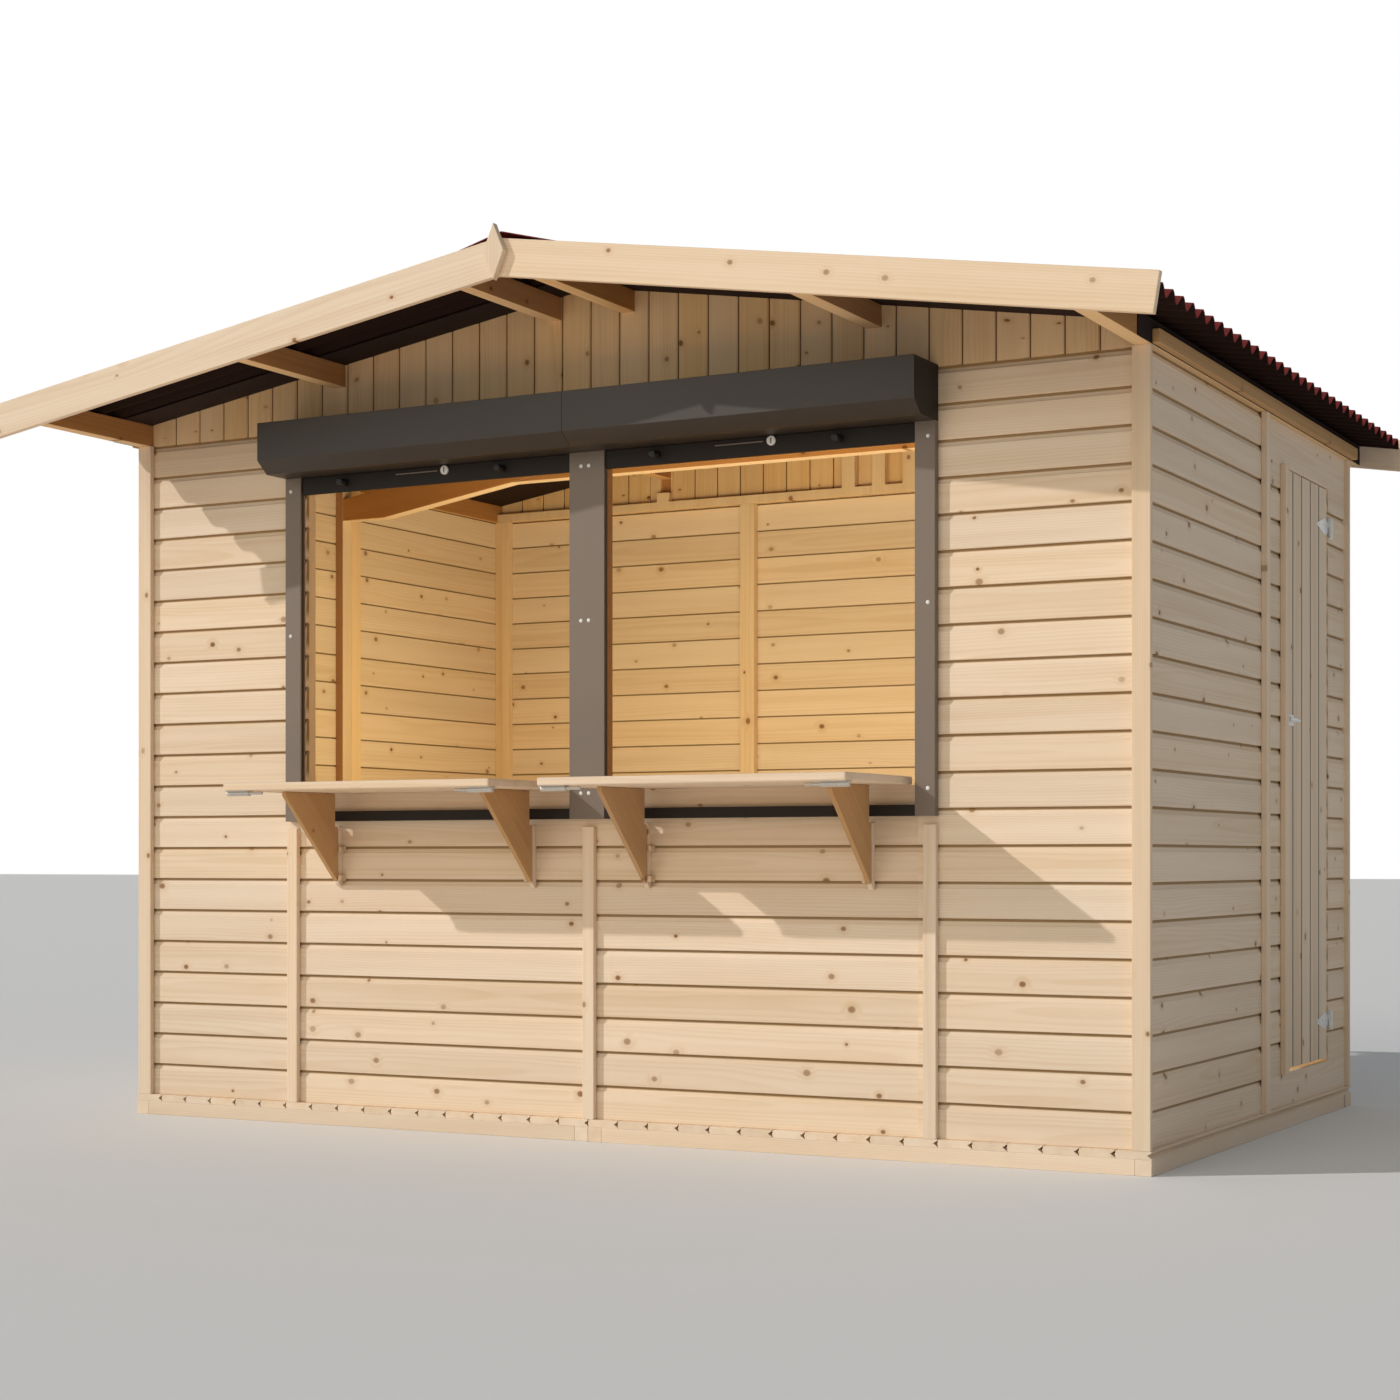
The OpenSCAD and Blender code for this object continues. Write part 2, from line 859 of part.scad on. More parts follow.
// A bracket square to the wall at a distance from the middle, relieved over the bottom rail
module bracket(x) {
    v = -face_y;
    color(spruce)
        along_x([x - bracket_t / 2, x + bracket_t / 2])
            polygon([
                [v - bracket_back_v, bracket_edge(bracket_back_v)],
                [v - bracket_tip_v, bracket_top - bracket_nose],
                [v - bracket_tip_v, bracket_top],
                [v - relief_v, bracket_top],
                [v - relief_v, cleat_top],
                [v - bracket_back_v, cleat_top]
            ]);
}

// Cleats on the wall behind the brackets, cut to the same slanted edge
module bracket_cleats() {
    v = -face_y;
    color(spruce)
        both_sides()
            for (x = [bracket_inner_x, bracket_outer_x])
                along_x([x - bracket_t / 2, x + bracket_t / 2])
                    polygon([
                        [v, bracket_foot],
                        [v - bracket_toe, bracket_foot],
                        [v - cleat_d, bracket_edge(cleat_d)],
                        [v - cleat_d, cleat_top],
                        [v, cleat_top]
                    ]);
}

module bracket_left_outer() {
    bracket(-bracket_outer_x);
}

module bracket_left_inner() {
    bracket(-bracket_inner_x);
}

module bracket_right_inner() {
    bracket(bracket_inner_x);
}

module bracket_right_outer() {
    bracket(bracket_outer_x);
}

// Pins of the bracket hinges on their wall plates, beside the faces that fold to the wall
module bracket_hinges() {
    color(zinc)
        both_sides()
            for (side = [[bracket_inner_x, 1], [bracket_outer_x, -1]])
                for (share = bracket_hinge_shares) {
                    x = side[0] + side[1] * (bracket_t / 2 + bracket_axis_side);
                    z = bracket_foot + share * bracket_h - bracket_hinge_h / 2 + bracket_pin_r;
                    translate([x, -face_y - bracket_axis_v, z])
                        cylinder(r = bracket_pin_r, h = bracket_hinge_h);
                    block([x - hinge_leaf_t, x + hinge_leaf_t], [-face_y - bracket_axis_v, -face_y],
                        [z, z + bracket_hinge_h]);
                    block([x - bracket_plate_w / 2, x + bracket_plate_w / 2],
                        [-face_y - hinge_leaf_t, -face_y], [z, z + bracket_hinge_h]);
                }
}

// Vertical boards of the door as one leaf
module door_leaf() {
    color(spruce)
        block([inner_x, face_x], [door_latch_edge, door_hinge_edge], [door_foot, door_top]);
}

// Ledges across the inside of the door
module door_ledges() {
    color(spruce_inside)
        for (share = ledge_shares) {
            z = door_foot + share * (door_top - door_foot) - ledge_h / 2;
            block([inner_x - ledge_t, inner_x], [door_latch_edge + ledge_inset, door_hinge_edge - ledge_inset],
                [z, z + ledge_h]);
        }
}

// Children at the heights of the two door hinges
module at_door_hinges() {
    for (z = [door_foot + door_hinge_inset, door_top - door_hinge_inset])
        translate([0, 0, z]) children();
}

// Half of a door hinge knuckle with the web to its plate, between two heights
module door_knuckle(z, way) {
    translate([door_axis_x, door_axis_y, z[0]])
        cylinder(r = door_hinge_r, h = z[1] - z[0]);
    block([face_x, door_axis_x], [min(door_axis_y, door_axis_y + way * door_hinge_r),
        max(door_axis_y, door_axis_y + way * door_hinge_r)], z);
}

// Leaf-shaped straps on the door with the upper halves of the knuckles
module door_hinge_straps() {
    neck = strap_neck_share * strap_l;
    color(zinc)
        at_door_hinges() {
            along_x([face_x, face_x + hinge_leaf_t])
                polygon([
                    [door_hinge_edge, strap_h * strap_neck_share],
                    [door_hinge_edge - neck, strap_h / 2],
                    [door_hinge_edge - strap_l, 0],
                    [door_hinge_edge - neck, -strap_h / 2],
                    [door_hinge_edge, -strap_h * strap_neck_share]
                ]);
            block([face_x, face_x + hinge_leaf_t], [door_hinge_edge - neck, door_axis_y],
                [seat_gap, strap_h * strap_neck_share]);
            door_knuckle([seat_gap, door_hinge_l / 2], -1);
        }
}

// Hinge plates beside the doorway with the lower halves of the knuckles
module door_hinge_plates() {
    y = door_hinge_edge + door_jamb_gap;
    color(zinc)
        at_door_hinges() {
            block([face_x, face_x + hinge_leaf_t], [y, y + plate_l], [-strap_h / 2, strap_h / 2]);
            block([face_x, face_x + hinge_leaf_t], [door_axis_y, y + plate_l], [-door_hinge_l / 2, -seat_gap]);
            door_knuckle([-door_hinge_l / 2, -seat_gap], 1);
        }
}

// Sliding bolt on the latch side of the door
module door_bolt() {
    y = door_latch_edge + door_bolt_inset;
    z = door_foot + door_bolt_share * (door_top - door_foot);
    color(zinc) {
        block([face_x, face_x + hinge_leaf_t], [y, y + bolt_plate_l],
            [z - bolt_plate_w / 2, z + bolt_plate_w / 2]);
        translate([face_x + bolt_r, y + bolt_l, z])
            rotate([90, 0, 0])
                cylinder(r = bolt_rod_r, h = bolt_l);
        translate([face_x + bolt_r, y + bolt_plate_l, z])
            rotate([90, 0, 0])
                cylinder(r = bolt_r, h = bolt_plate_l);
    }
}

floor_joists();
floor_rims();
floor_boards();
front_side_panels();
front_breast_wall();
front_post();
front_header();
gables();
gable_frames();
left_wall();
back_wall();
right_wall_front();
door_side_panels();
door_sill_and_header();
front_studs();
front_beams();
back_studs();
side_posts();
outer_battens();
door_trim();
purlins();
truss_rafter_left();
truss_rafter_right();
truss_collar();
roof_felt();
roof_sheets();
ridge_cap();
barge_boards_left();
barge_boards_right();
ridge_finials();
eave_boards();
shutter_boxes();
shutter_rails();
shutter_sill_rails();
shutter_bars();
shutter_stops();
shutter_locks();
counter_hinges();
bracket_cleats();
bracket_hinges();
door_hinge_plates();
door_leaf();
door_ledges();
door_hinge_straps();
door_bolt();
counter_left();
counter_left_bolts();
counter_right();
counter_right_bolts();
bracket_left_outer();
bracket_left_inner();
bracket_right_inner();
bracket_right_outer();
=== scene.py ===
"""Market stall of spruce boards with a corrugated roof: finishes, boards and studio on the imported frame."""

import logging
import math
import random
from dataclasses import dataclass, field
from enum import Enum
from typing import Dict, Iterable, List, Optional, Sequence, Tuple, Union

import bmesh
import bpy
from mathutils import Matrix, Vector


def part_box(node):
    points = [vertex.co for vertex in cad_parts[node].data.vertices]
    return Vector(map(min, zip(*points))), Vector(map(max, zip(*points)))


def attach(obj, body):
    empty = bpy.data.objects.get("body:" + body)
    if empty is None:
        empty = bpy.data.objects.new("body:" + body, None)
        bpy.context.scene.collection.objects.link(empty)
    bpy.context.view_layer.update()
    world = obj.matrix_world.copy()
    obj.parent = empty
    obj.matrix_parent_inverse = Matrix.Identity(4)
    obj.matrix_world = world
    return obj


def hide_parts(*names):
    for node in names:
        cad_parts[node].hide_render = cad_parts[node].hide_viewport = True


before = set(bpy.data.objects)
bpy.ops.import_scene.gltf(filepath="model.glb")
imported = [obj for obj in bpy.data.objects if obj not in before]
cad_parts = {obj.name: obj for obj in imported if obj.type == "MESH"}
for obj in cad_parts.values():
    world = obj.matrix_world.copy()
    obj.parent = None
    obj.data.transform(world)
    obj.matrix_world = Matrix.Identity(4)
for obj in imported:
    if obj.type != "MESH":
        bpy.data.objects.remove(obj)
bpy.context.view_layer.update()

LOG = logging.getLogger("market_stall")

Colour = Tuple[float, float, float, float]
Point2 = Tuple[float, float]
Triple = Tuple[float, float, float]
Box = Tuple[Vector, Vector]
Shape = bmesh.types.BMesh
Piece = bpy.types.Object
Tree = bpy.types.NodeTree
Material = bpy.types.Material
Socket = bpy.types.NodeSocket
Sockets = bpy.types.bpy_prop_collection
Wire = Union[float, int, str, Sequence[float], Socket]
Wires = Dict[Union[str, int], Wire]

RIGHTWARD, BACKWARD, UPWARD = Vector((1.0, 0.0, 0.0)), Vector((0.0, 1.0, 0.0)), Vector((0.0, 0.0, 1.0))
MERGE_DISTANCE = 1e-6
FLAT_ANGLE = math.radians(0.5)
EASED_ANGLE = math.radians(18.0)
SMOOTH_ANGLE = math.radians(32.0)


def srgb(red: int, green: int, blue: int) -> Colour:
    """Turn a screen colour of 0 to 255 into a linear one.

    Args:
        red: Red value.
        green: Green value.
        blue: Blue value.

    Returns:
        The linear colour with an alpha of one.
    """
    def linear(value: int) -> float:
        """Give the linear level of one screen value."""
        share = value / 255.0
        return share / 12.92 if share <= 0.04045 else ((share + 0.055) / 1.055) ** 2.4

    return linear(red), linear(green), linear(blue), 1.0


class Graph:
    """A node tree being wired, with short ways to add nodes and join them."""

    def __init__(self, tree: Tree) -> None:
        """Hold the tree that is wired."""
        self.tree = tree

    def add(self, kind: str, wires: Optional[Wires] = None, **settings: object) -> bpy.types.Node:
        """Add a node.

        Args:
            kind: The node's type name.
            wires: Values or sockets for its inputs, by name or place.
            **settings: The node's own settings.

        Returns:
            The new node.
        """
        node = self.tree.nodes.new(kind)
        for name, value in settings.items():
            setattr(node, name, value)
        for key, value in (wires or {}).items():
            self.feed(node.inputs[key], value)
        return node

    def first(self, kind: str, wires: Optional[Wires] = None, **settings: object) -> Socket:
        """Add a node in the same way and give its first output."""
        return self.add(kind, wires, **settings).outputs[0]

    def feed(self, target: Socket, value: Wire) -> None:
        """Give an input a socket to follow or a value to hold.

        Args:
            target: The input.
            value: A socket or a plain value.
        """
        if isinstance(value, Socket):
            self.tree.links.new(value, target)
        else:
            target.default_value = value

    def math(self, operation: str, one: Wire, two: Wire = 0.0, clamp: bool = False) -> Socket:
        """Work out one operation on two values, held between 0 and 1 if asked."""
        return self.first("ShaderNodeMath", {0: one, 1: two}, operation=operation, use_clamp=clamp)

    def line(self, value: Wire, factor: Wire, shift: Wire, clamp: bool = False) -> Socket:
        """Multiply a value by a factor and add a shift."""
        return self.math("ADD", self.math("MULTIPLY", value, factor), shift, clamp)

    def vector(self, operation: str, one: Wire, two: Wire) -> Socket:
        """Work out one operation on two vectors."""
        return self.first("ShaderNodeVectorMath", {0: one, 1: two}, operation=operation)

    def split(self, vector: Wire) -> Sockets:
        """Give the three parts of a vector as sockets."""
        return self.add("ShaderNodeSeparateXYZ", {0: vector}).outputs

    def join(self, one: Wire, two: Wire, three: Wire) -> Socket:
        """Make one vector of three values."""
        return self.first("ShaderNodeCombineXYZ", {0: one, 1: two, 2: three})

    def ramp(self, value: Wire, low: Wire, high: Wire) -> Socket:
        """Rise smoothly from 0 at one value to 1 at another."""
        wires = {"Value": value, "From Min": low, "From Max": high}
        return self.first("ShaderNodeMapRange", wires, interpolation_type="SMOOTHSTEP", clamp=True)

    def noise(self, vector: Wire, scale: float, detail: float) -> Socket:
        """Give a noise texture's value."""
        return self.first("ShaderNodeTexNoise", {"Vector": vector, "Scale": scale, "Detail": detail})

    def mix(self, share: Wire, one: Wire, two: Wire) -> Socket:
        """Mix a share of the second colour into the first."""
        return self.add("ShaderNodeMix", {0: share, 6: one, 7: two}, data_type="RGBA", blend_type="MIX").outputs[2]


def new_group(name: str, kind: str, takes: Dict[str, str], gives: Dict[str, str]) -> Tuple[Graph, Sockets, Sockets]:
    """Start a node group with named sockets.

    Args:
        name: The group's name.
        kind: The tree's type name.
        takes: Socket types of its inputs by name.
        gives: Socket types of its outputs by name.

    Returns:
        The graph, the sockets that bring the inputs and the sockets that take the outputs.
    """
    tree = bpy.data.node_groups.new(name, kind)
    for way, sockets in (("INPUT", takes), ("OUTPUT", gives)):
        for label, socket in sockets.items():
            tree.interface.new_socket(label, in_out=way, socket_type="NodeSocket" + socket)
    graph = Graph(tree)
    return graph, graph.add("NodeGroupInput").outputs, graph.add("NodeGroupOutput").inputs


def spruce_grain_group() -> Tree:
    """Build the shader group for sawn spruce: growth rings, streaks, knots, a tone for each board and painted shade in
    the boards' grooves.

    Returns:
        The group.
    """
    graph, taken, given = new_group(
        "spruce grain",
        "ShaderNodeTree",
        {
            "Grain": "Vector", "Board": "Vector", "Groove shade": "Float", "Pale": "Color", "Deep": "Color",
            "Knot": "Color", "Recess": "Color", "Ring pitch": "Float", "Ring strength": "Float",
            "Knot share": "Float", "Tone spread": "Float",
        },
        {"Color": "Color", "Roughness": "Float", "Height": "Float"},
    )
    knots_a_metre, knot_least, knot_spread, bend = 8.5, 0.0032, 0.0056, 0.03
    local = taken["Grain"]
    board = graph.split(taken["Board"])
    place = graph.vector("ADD", local, graph.vector("MULTIPLY", taken["Board"], (17.3, 11.9, 7.7)))

    def stretched(along: float, across: float) -> Socket:
        """Give the place with its own scale along the grain and across it."""
        return graph.vector("MULTIPLY", place, (along, across, across))

    cells = graph.add(
        "ShaderNodeTexVoronoi",
        {"Vector": stretched(0.8, 1.0), "Scale": knots_a_metre, "Randomness": 1.0},
        voronoi_dimensions="2D",
    )
    reach = graph.math("DIVIDE", cells.outputs["Distance"], knots_a_metre)
    chance = graph.split(cells.outputs["Color"])
    present = graph.math("LESS_THAN", chance[0], taken["Knot share"])
    size = graph.line(chance[1], knot_spread, knot_least)
    strength = graph.math("MULTIPLY", present, graph.line(chance[2], 0.6, 0.4))
    rim = graph.math("MULTIPLY", size, 1.25)
    core = graph.math("MULTIPLY", strength, graph.ramp(reach, rim, graph.math("MULTIPLY", size, 0.6)))
    halo = graph.math("MULTIPLY", strength, graph.ramp(reach, graph.math("MULTIPLY", size, 3.4), size))

    wander = graph.math("SUBTRACT", graph.noise(stretched(0.9, 5.0), 1.0, 2.0), 0.5)
    along = graph.split(local)
    pith_v = graph.math("MULTIPLY", graph.math("SUBTRACT", board[0], 0.5), 0.12)
    pith_w = graph.line(board[1], 0.09, 0.012)
    off_v = graph.line(wander, bend, graph.math("SUBTRACT", along[1], pith_v))
    off_w = graph.line(wander, bend, graph.math("ADD", along[2], pith_w))
    radius = graph.math("SQRT", graph.line(off_v, off_v, graph.math("MULTIPLY", off_w, off_w)))
    bent = graph.line(halo, 0.006, radius)
    phase = graph.math("FRACT", graph.math("DIVIDE", bent, taken["Ring pitch"]))
    late = graph.math("MULTIPLY", graph.ramp(phase, 0.25, 0.85), graph.ramp(phase, 1.0, 0.9))

    streak = graph.noise(stretched(1.1, 26.0), 1.0, 3.0)
    fibre = graph.noise(stretched(9.0, 420.0), 1.0, 2.0)
    depth = graph.math("MULTIPLY", late, taken["Ring strength"])
    depth = graph.line(graph.math("SUBTRACT", streak, 0.42), 0.8, depth)
    depth = graph.line(graph.math("SUBTRACT", fibre, 0.5), 0.16, depth, clamp=True)
    wood = graph.mix(depth, taken["Pale"], taken["Deep"])
    tone = graph.line(graph.math("SUBTRACT", board[2], 0.5), taken["Tone spread"], 1.0)
    warmth = graph.line(board[0], 0.16, 0.92)
    wood = graph.first("ShaderNodeHueSaturation", {"Saturation": warmth, "Value": tone, "Color": wood})
    wood = graph.mix(graph.math("MULTIPLY", halo, 0.32), wood, taken["Deep"])
    wood = graph.mix(core, wood, taken["Knot"])
    # Painted shade: where the groove-depth share is high, the recess colour darkens the grooves between boards where
    # shade falls.
    sunk = graph.math("MULTIPLY", graph.ramp(taken["Groove shade"], 0.05, 0.5), 0.82)
    graph.feed(given["Color"], graph.mix(sunk, wood, taken["Recess"]))
    graph.feed(given["Roughness"], graph.line(core, -0.15, graph.line(fibre, 0.14, 0.56)))
    relief = graph.line(fibre, 0.5, graph.math("MULTIPLY", late, 0.5))
    graph.feed(given["Height"], graph.line(core, -0.6, relief))
    return graph.tree


def speckle_group() -> Tree:
    """Build the shader group for coats with fine flecks and slow clouds of tone.

    Returns:
        The group.
    """
    graph, taken, given = new_group(
        "fleck and cloud",
        "ShaderNodeTree",
        {
            "Position": "Vector", "Base": "Color", "Fleck": "Color", "Fleck size": "Float",
            "Fleck share": "Float", "Cloud share": "Float", "Roughness": "Float",
        },
        {"Color": "Color", "Roughness": "Float", "Height": "Float"},
    )
    finer = graph.math("DIVIDE", 1.0, taken["Fleck size"])
    scaled = graph.first("ShaderNodeVectorMath", {0: taken["Position"], 3: finer}, operation="SCALE")
    grit = graph.noise(scaled, 1.0, 2.0)
    cloud = graph.math("SUBTRACT", graph.noise(taken["Position"], 3.1, 3.0), 0.5)
    flecks = graph.math("MULTIPLY", graph.ramp(grit, 0.46, 0.66), taken["Fleck share"])
    share = graph.line(cloud, taken["Cloud share"], flecks, clamp=True)
    graph.feed(given["Color"], graph.mix(share, taken["Base"], taken["Fleck"]))
    graph.feed(given["Roughness"], graph.line(cloud, 0.12, taken["Roughness"], clamp=True))
    graph.feed(given["Height"], grit)
    return graph.tree


def new_material(name: str) -> Tuple[Material, Graph]:
    """Start a material with an empty tree.

    Args:
        name: The material's name.

    Returns:
        The material and the graph of its tree.
    """
    made = bpy.data.materials.new(name)
    made.use_nodes = True
    made.node_tree.nodes.clear()
    return made, Graph(made.node_tree)


def lay_surface(graph: Graph, effect: bpy.types.Node, strength: float, depth: float, extra: Wires) -> None:
    """Lead an effect's colour, roughness and relief into a material's surface.

    Args:
        graph: The material's graph.
        effect: The node of the effect's group.
        strength: Strength of the relief.
        depth: Depth of the relief.
        extra: Further inputs of the surface.
    """
    given = effect.outputs
    bump = graph.first("ShaderNodeBump", {"Strength": strength, "Distance": depth, "Height": given["Height"]})
    wires = {"Base Color": given["Color"], "Roughness": given["Roughness"], "Normal": bump, **extra}
    graph.add("ShaderNodeOutputMaterial", {"Surface": graph.first("ShaderNodeBsdfPrincipled", wires)})


@dataclass(frozen=True)
class SpruceFinish:
    """A finish of sawn spruce boards."""

    name: str
    pale: Colour
    deep: Colour
    knot: Colour
    ring_pitch: float = 0.0055
    ring_strength: float = 0.17
    # Colour of the painted shade in the grooves between boards.
    recess: Colour = srgb(132, 100, 46)
    knot_share: float = 0.42
    tone_spread: float = 0.10
    relief: float = 0.22
    relief_depth: float = 0.0006
    specular: float = 0.08

    def material(self) -> Material:
        """Build the material.

        Returns:
            The material, whose grain follows the pieces' own grain and board attributes, with painted shade in the
            boards' grooves.
        """
        made, graph = new_material(self.name)
        grain, board, joint = (
            graph.add("ShaderNodeAttribute", attribute_name=name).outputs for name in ("grain", "board", "joint")
        )
        wood = graph.add(
            "ShaderNodeGroup",
            {
                "Grain": grain["Vector"], "Board": board["Vector"], "Groove shade": joint["Fac"], "Pale": self.pale,
                "Deep": self.deep, "Knot": self.knot, "Recess": self.recess, "Ring pitch": self.ring_pitch,
                "Ring strength": self.ring_strength, "Knot share": self.knot_share, "Tone spread": self.tone_spread,
            },
            node_tree=bpy.data.node_groups.get("spruce grain") or spruce_grain_group(),
        )
        lay_surface(graph, wood, self.relief, self.relief_depth, {"Specular IOR Level": self.specular})
        return made


@dataclass(frozen=True)
class CoatFinish:
    """A finish of metal, coating, felt or plastic with flecks and clouds of tone."""

    name: str
    base: Colour
    fleck: Colour
    fleck_size: float
    fleck_share: float
    cloud_share: float
    roughness: float
    metallic: float = 0.0
    relief: float = 0.05
    relief_depth: float = 0.0004
    specular: float = 0.5

    def material(self) -> Material:
        """Build the material.

        Returns:
            The material, laid in the pieces' own space.
        """
        made, graph = new_material(self.name)
        coat = graph.add(
            "ShaderNodeGroup",
            {
                "Position": graph.add("ShaderNodeTexCoord").outputs["Object"], "Base": self.base, "Fleck": self.fleck,
                "Fleck size": self.fleck_size, "Fleck share": self.fleck_share, "Cloud share": self.cloud_share,
                "Roughness": self.roughness,
            },
            node_tree=bpy.data.node_groups.get("fleck and cloud") or speckle_group(),
        )
        extra = {"Metallic": self.metallic, "Specular IOR Level": self.specular}
        lay_surface(graph, coat, self.relief, self.relief_depth, extra)
        return made


class Finish(Enum):
    """The finishes of the stall."""

    CLADDING = SpruceFinish("planed spruce", srgb(238, 218, 194), srgb(208, 174, 130), srgb(140, 96, 58))
    INSIDE = SpruceFinish("spruce inside", srgb(238, 212, 176), srgb(208, 167, 118), srgb(128, 82, 44))
    # The door's grooves take a darker painted shade than the cladding's.
    DOOR = SpruceFinish(
        "door spruce", srgb(238, 218, 194), srgb(208, 174, 130), srgb(140, 96, 58), recess=srgb(56, 39, 24)
    )
    # Warmer and darker than the cladding: partly the gable boards' own tone, partly painted shade of the roof's
    # overhang; its grooves take a darker painted shade.
    GABLE = SpruceFinish(
        "gable spruce", srgb(236, 202, 158), srgb(204, 160, 106), srgb(132, 88, 50), recess=srgb(86, 54, 28)
    )
    # Darker, browner spruce for the brackets and eave boards: painted shade under the counters and the roof.
    SHADED_SPRUCE = SpruceFinish("spruce with painted shade", srgb(200, 160, 114), srgb(168, 126, 82), srgb(100, 64, 36))
    # Darker, browner spruce of the truss; on the purlins it is partly painted shade under the roof, and on the gable
    # stops and some post faces it is painted shade.
    TRUSS = SpruceFinish(
        "truss timber", srgb(186, 138, 92), srgb(156, 102, 60), srgb(84, 48, 26), knot_share=0.3
    )
    ANTHRACITE = CoatFinish(
        "anthracite powder coat", srgb(58, 51, 45), srgb(66, 58, 52), 0.0012, 0.35, 0.12, 0.46
    )
    # A lighter copy of the anthracite coat for the sunlit rails and bar ribs: painted sunlight and sheen.
    LIT_ANTHRACITE = CoatFinish(
        "anthracite with painted sheen", srgb(120, 107, 95), srgb(128, 115, 103), 0.0012, 0.35, 0.12, 0.46
    )
    # A darker, duller copy of the anthracite coat for the sill rails, the bars and the boxes' end faces: painted shade.
    SHADED_ANTHRACITE = CoatFinish(
        "anthracite with painted shade", srgb(48, 44, 41), srgb(54, 50, 47), 0.0012, 0.35, 0.12, 0.46, specular=0.1
    )
    # Zinc, yellow zinc and screw heads: light metal fittings whose pale, mostly diffuse bases also stand for painted
    # reflection of the bright surroundings.
    ZINC = CoatFinish(
        "zinc plate", srgb(206, 203, 198), srgb(176, 174, 170), 0.004, 0.5, 0.3, 0.36, metallic=0.35
    )
    GILT = CoatFinish(
        "yellow zinc plate", srgb(222, 196, 164), srgb(196, 166, 130), 0.004, 0.5, 0.3, 0.4, metallic=0.2
    )
    SCREW = CoatFinish("pale screw head", srgb(232, 232, 230), srgb(206, 206, 204), 0.003, 0.3, 0.1, 0.34)
    FELT = CoatFinish(
        "roofing felt", srgb(48, 38, 35), srgb(76, 63, 58), 0.0022, 0.6, 0.2, 0.9, relief=0.3, specular=0.06
    )
    SHEET_TOP = CoatFinish(
        "red bitumen sheet", srgb(124, 52, 50), srgb(92, 36, 38), 0.003, 0.5, 0.5, 0.82, relief=0.3, specular=0.06
    )
    SHEET_UNDER = CoatFinish(
        "black bitumen", srgb(38, 25, 21), srgb(52, 36, 31), 0.003, 0.4, 0.3, 0.8, relief=0.3, specular=0.06
    )
    PLASTIC = CoatFinish("black plastic", srgb(26, 26, 26), srgb(34, 34, 34), 0.002, 0.2, 0.1, 0.5)

    def material(self) -> Material:
        """Give the finish's material, made at its first use."""
        return bpy.data.materials.get(self.value.name) or self.value.material()


class Facing(Enum):
    """The side that a wall's outer face looks to, as the way into the wall and the way along it."""

    FRONT = (BACKWARD, RIGHTWARD)
    BACK = (-BACKWARD, RIGHTWARD)
    LEFT = (RIGHTWARD, BACKWARD)
    RIGHT = (-RIGHTWARD, BACKWARD)

    @property
    def inward(self) -> Vector:
        """Way from the outer face into the wall."""
        return self.value[0]

    @property
    def along(self) -> Vector:
        """Way along the wall."""
        return self.value[1]

    def outer_corner(self, low: Vector, high: Vector) -> Vector:
        """Give the lower start corner, on its outer face, of a wall box with these corners."""
        into = self.inward
        return Vector((high.x if into.x < 0.0 else low.x, high.y if into.y < 0.0 else low.y, low.z))


def node_shape(node: str) -> Shape:
    """Copy a CAD node's mesh in the frame's space, with its flat faces whole.

    Args:
        node: The node's name.

    Returns:
        The copied mesh.
    """
    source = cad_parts[node]
    shape = bmesh.new()
    shape.from_mesh(source.data)
    shape.transform(source.matrix_world)
    bmesh.ops.remove_doubles(shape, verts=shape.verts, dist=MERGE_DISTANCE)
    bmesh.ops.dissolve_limit(shape, angle_limit=FLAT_ANGLE, verts=shape.verts, edges=shape.edges)
    return shape


def solids_of(shape: Shape) -> List[List[bmesh.types.BMVert]]:
    """Sort a mesh's points by the solid that they belong to.

    Args:
        shape: The mesh.

    Returns:
        A list of points for each solid.
    """
    left = set(shape.verts)
    found = []
    while left:
        reached = {left.pop()}
        edge_of_search = list(reached)
        while edge_of_search:
            point = edge_of_search.pop()
            for edge in point.link_edges:
                other = edge.other_vert(point)
                if other not in reached:
                    reached.add(other)
                    edge_of_search.append(other)
        left -= reached
        found.append(sorted(reached, key=lambda item: item.index))
    return sorted(found, key=lambda points: points[0].index)


def solid_boxes(node: str) -> List[Box]:
    """Give the box of each solid in a CAD node.

    Args:
        node: The node's name.

    Returns:
        Lowest and highest corners, in order along X and then Y and Z.
    """
    shape = node_shape(node)
    shape.verts.index_update()
    boxes = []
    for points in solids_of(shape):
        axes = list(zip(*(point.co for point in points)))
        boxes.append((Vector([min(axis) for axis in axes]), Vector([max(axis) for axis in axes])))
    shape.free()
    return sorted(boxes, key=lambda pair: tuple(round(value, 4) for value in pair[0]))


def soften(shape: Shape, width: float) -> None:
    """Round the sharp edges of a mesh.

    Args:
        shape: The mesh.
        width: Width of the rounding.
    """
    edges = [edge for edge in shape.edges if len(edge.link_faces) == 2 and edge.calc_face_angle() > EASED_ANGLE]
    bmesh.ops.bevel(
        shape, geom=edges, offset=width, offset_type="OFFSET", segments=2, profile=0.5,
        affect="EDGES", clamp_overlap=True, loop_slide=True,
    )


def vector_layer(shape: Shape, name: str) -> bmesh.types.BMLayerItem:
    """Give a mesh's own layer of vectors on its points, made at its first use."""
    return shape.verts.layers.float_vector.get(name) or shape.verts.layers.float_vector.new(name)


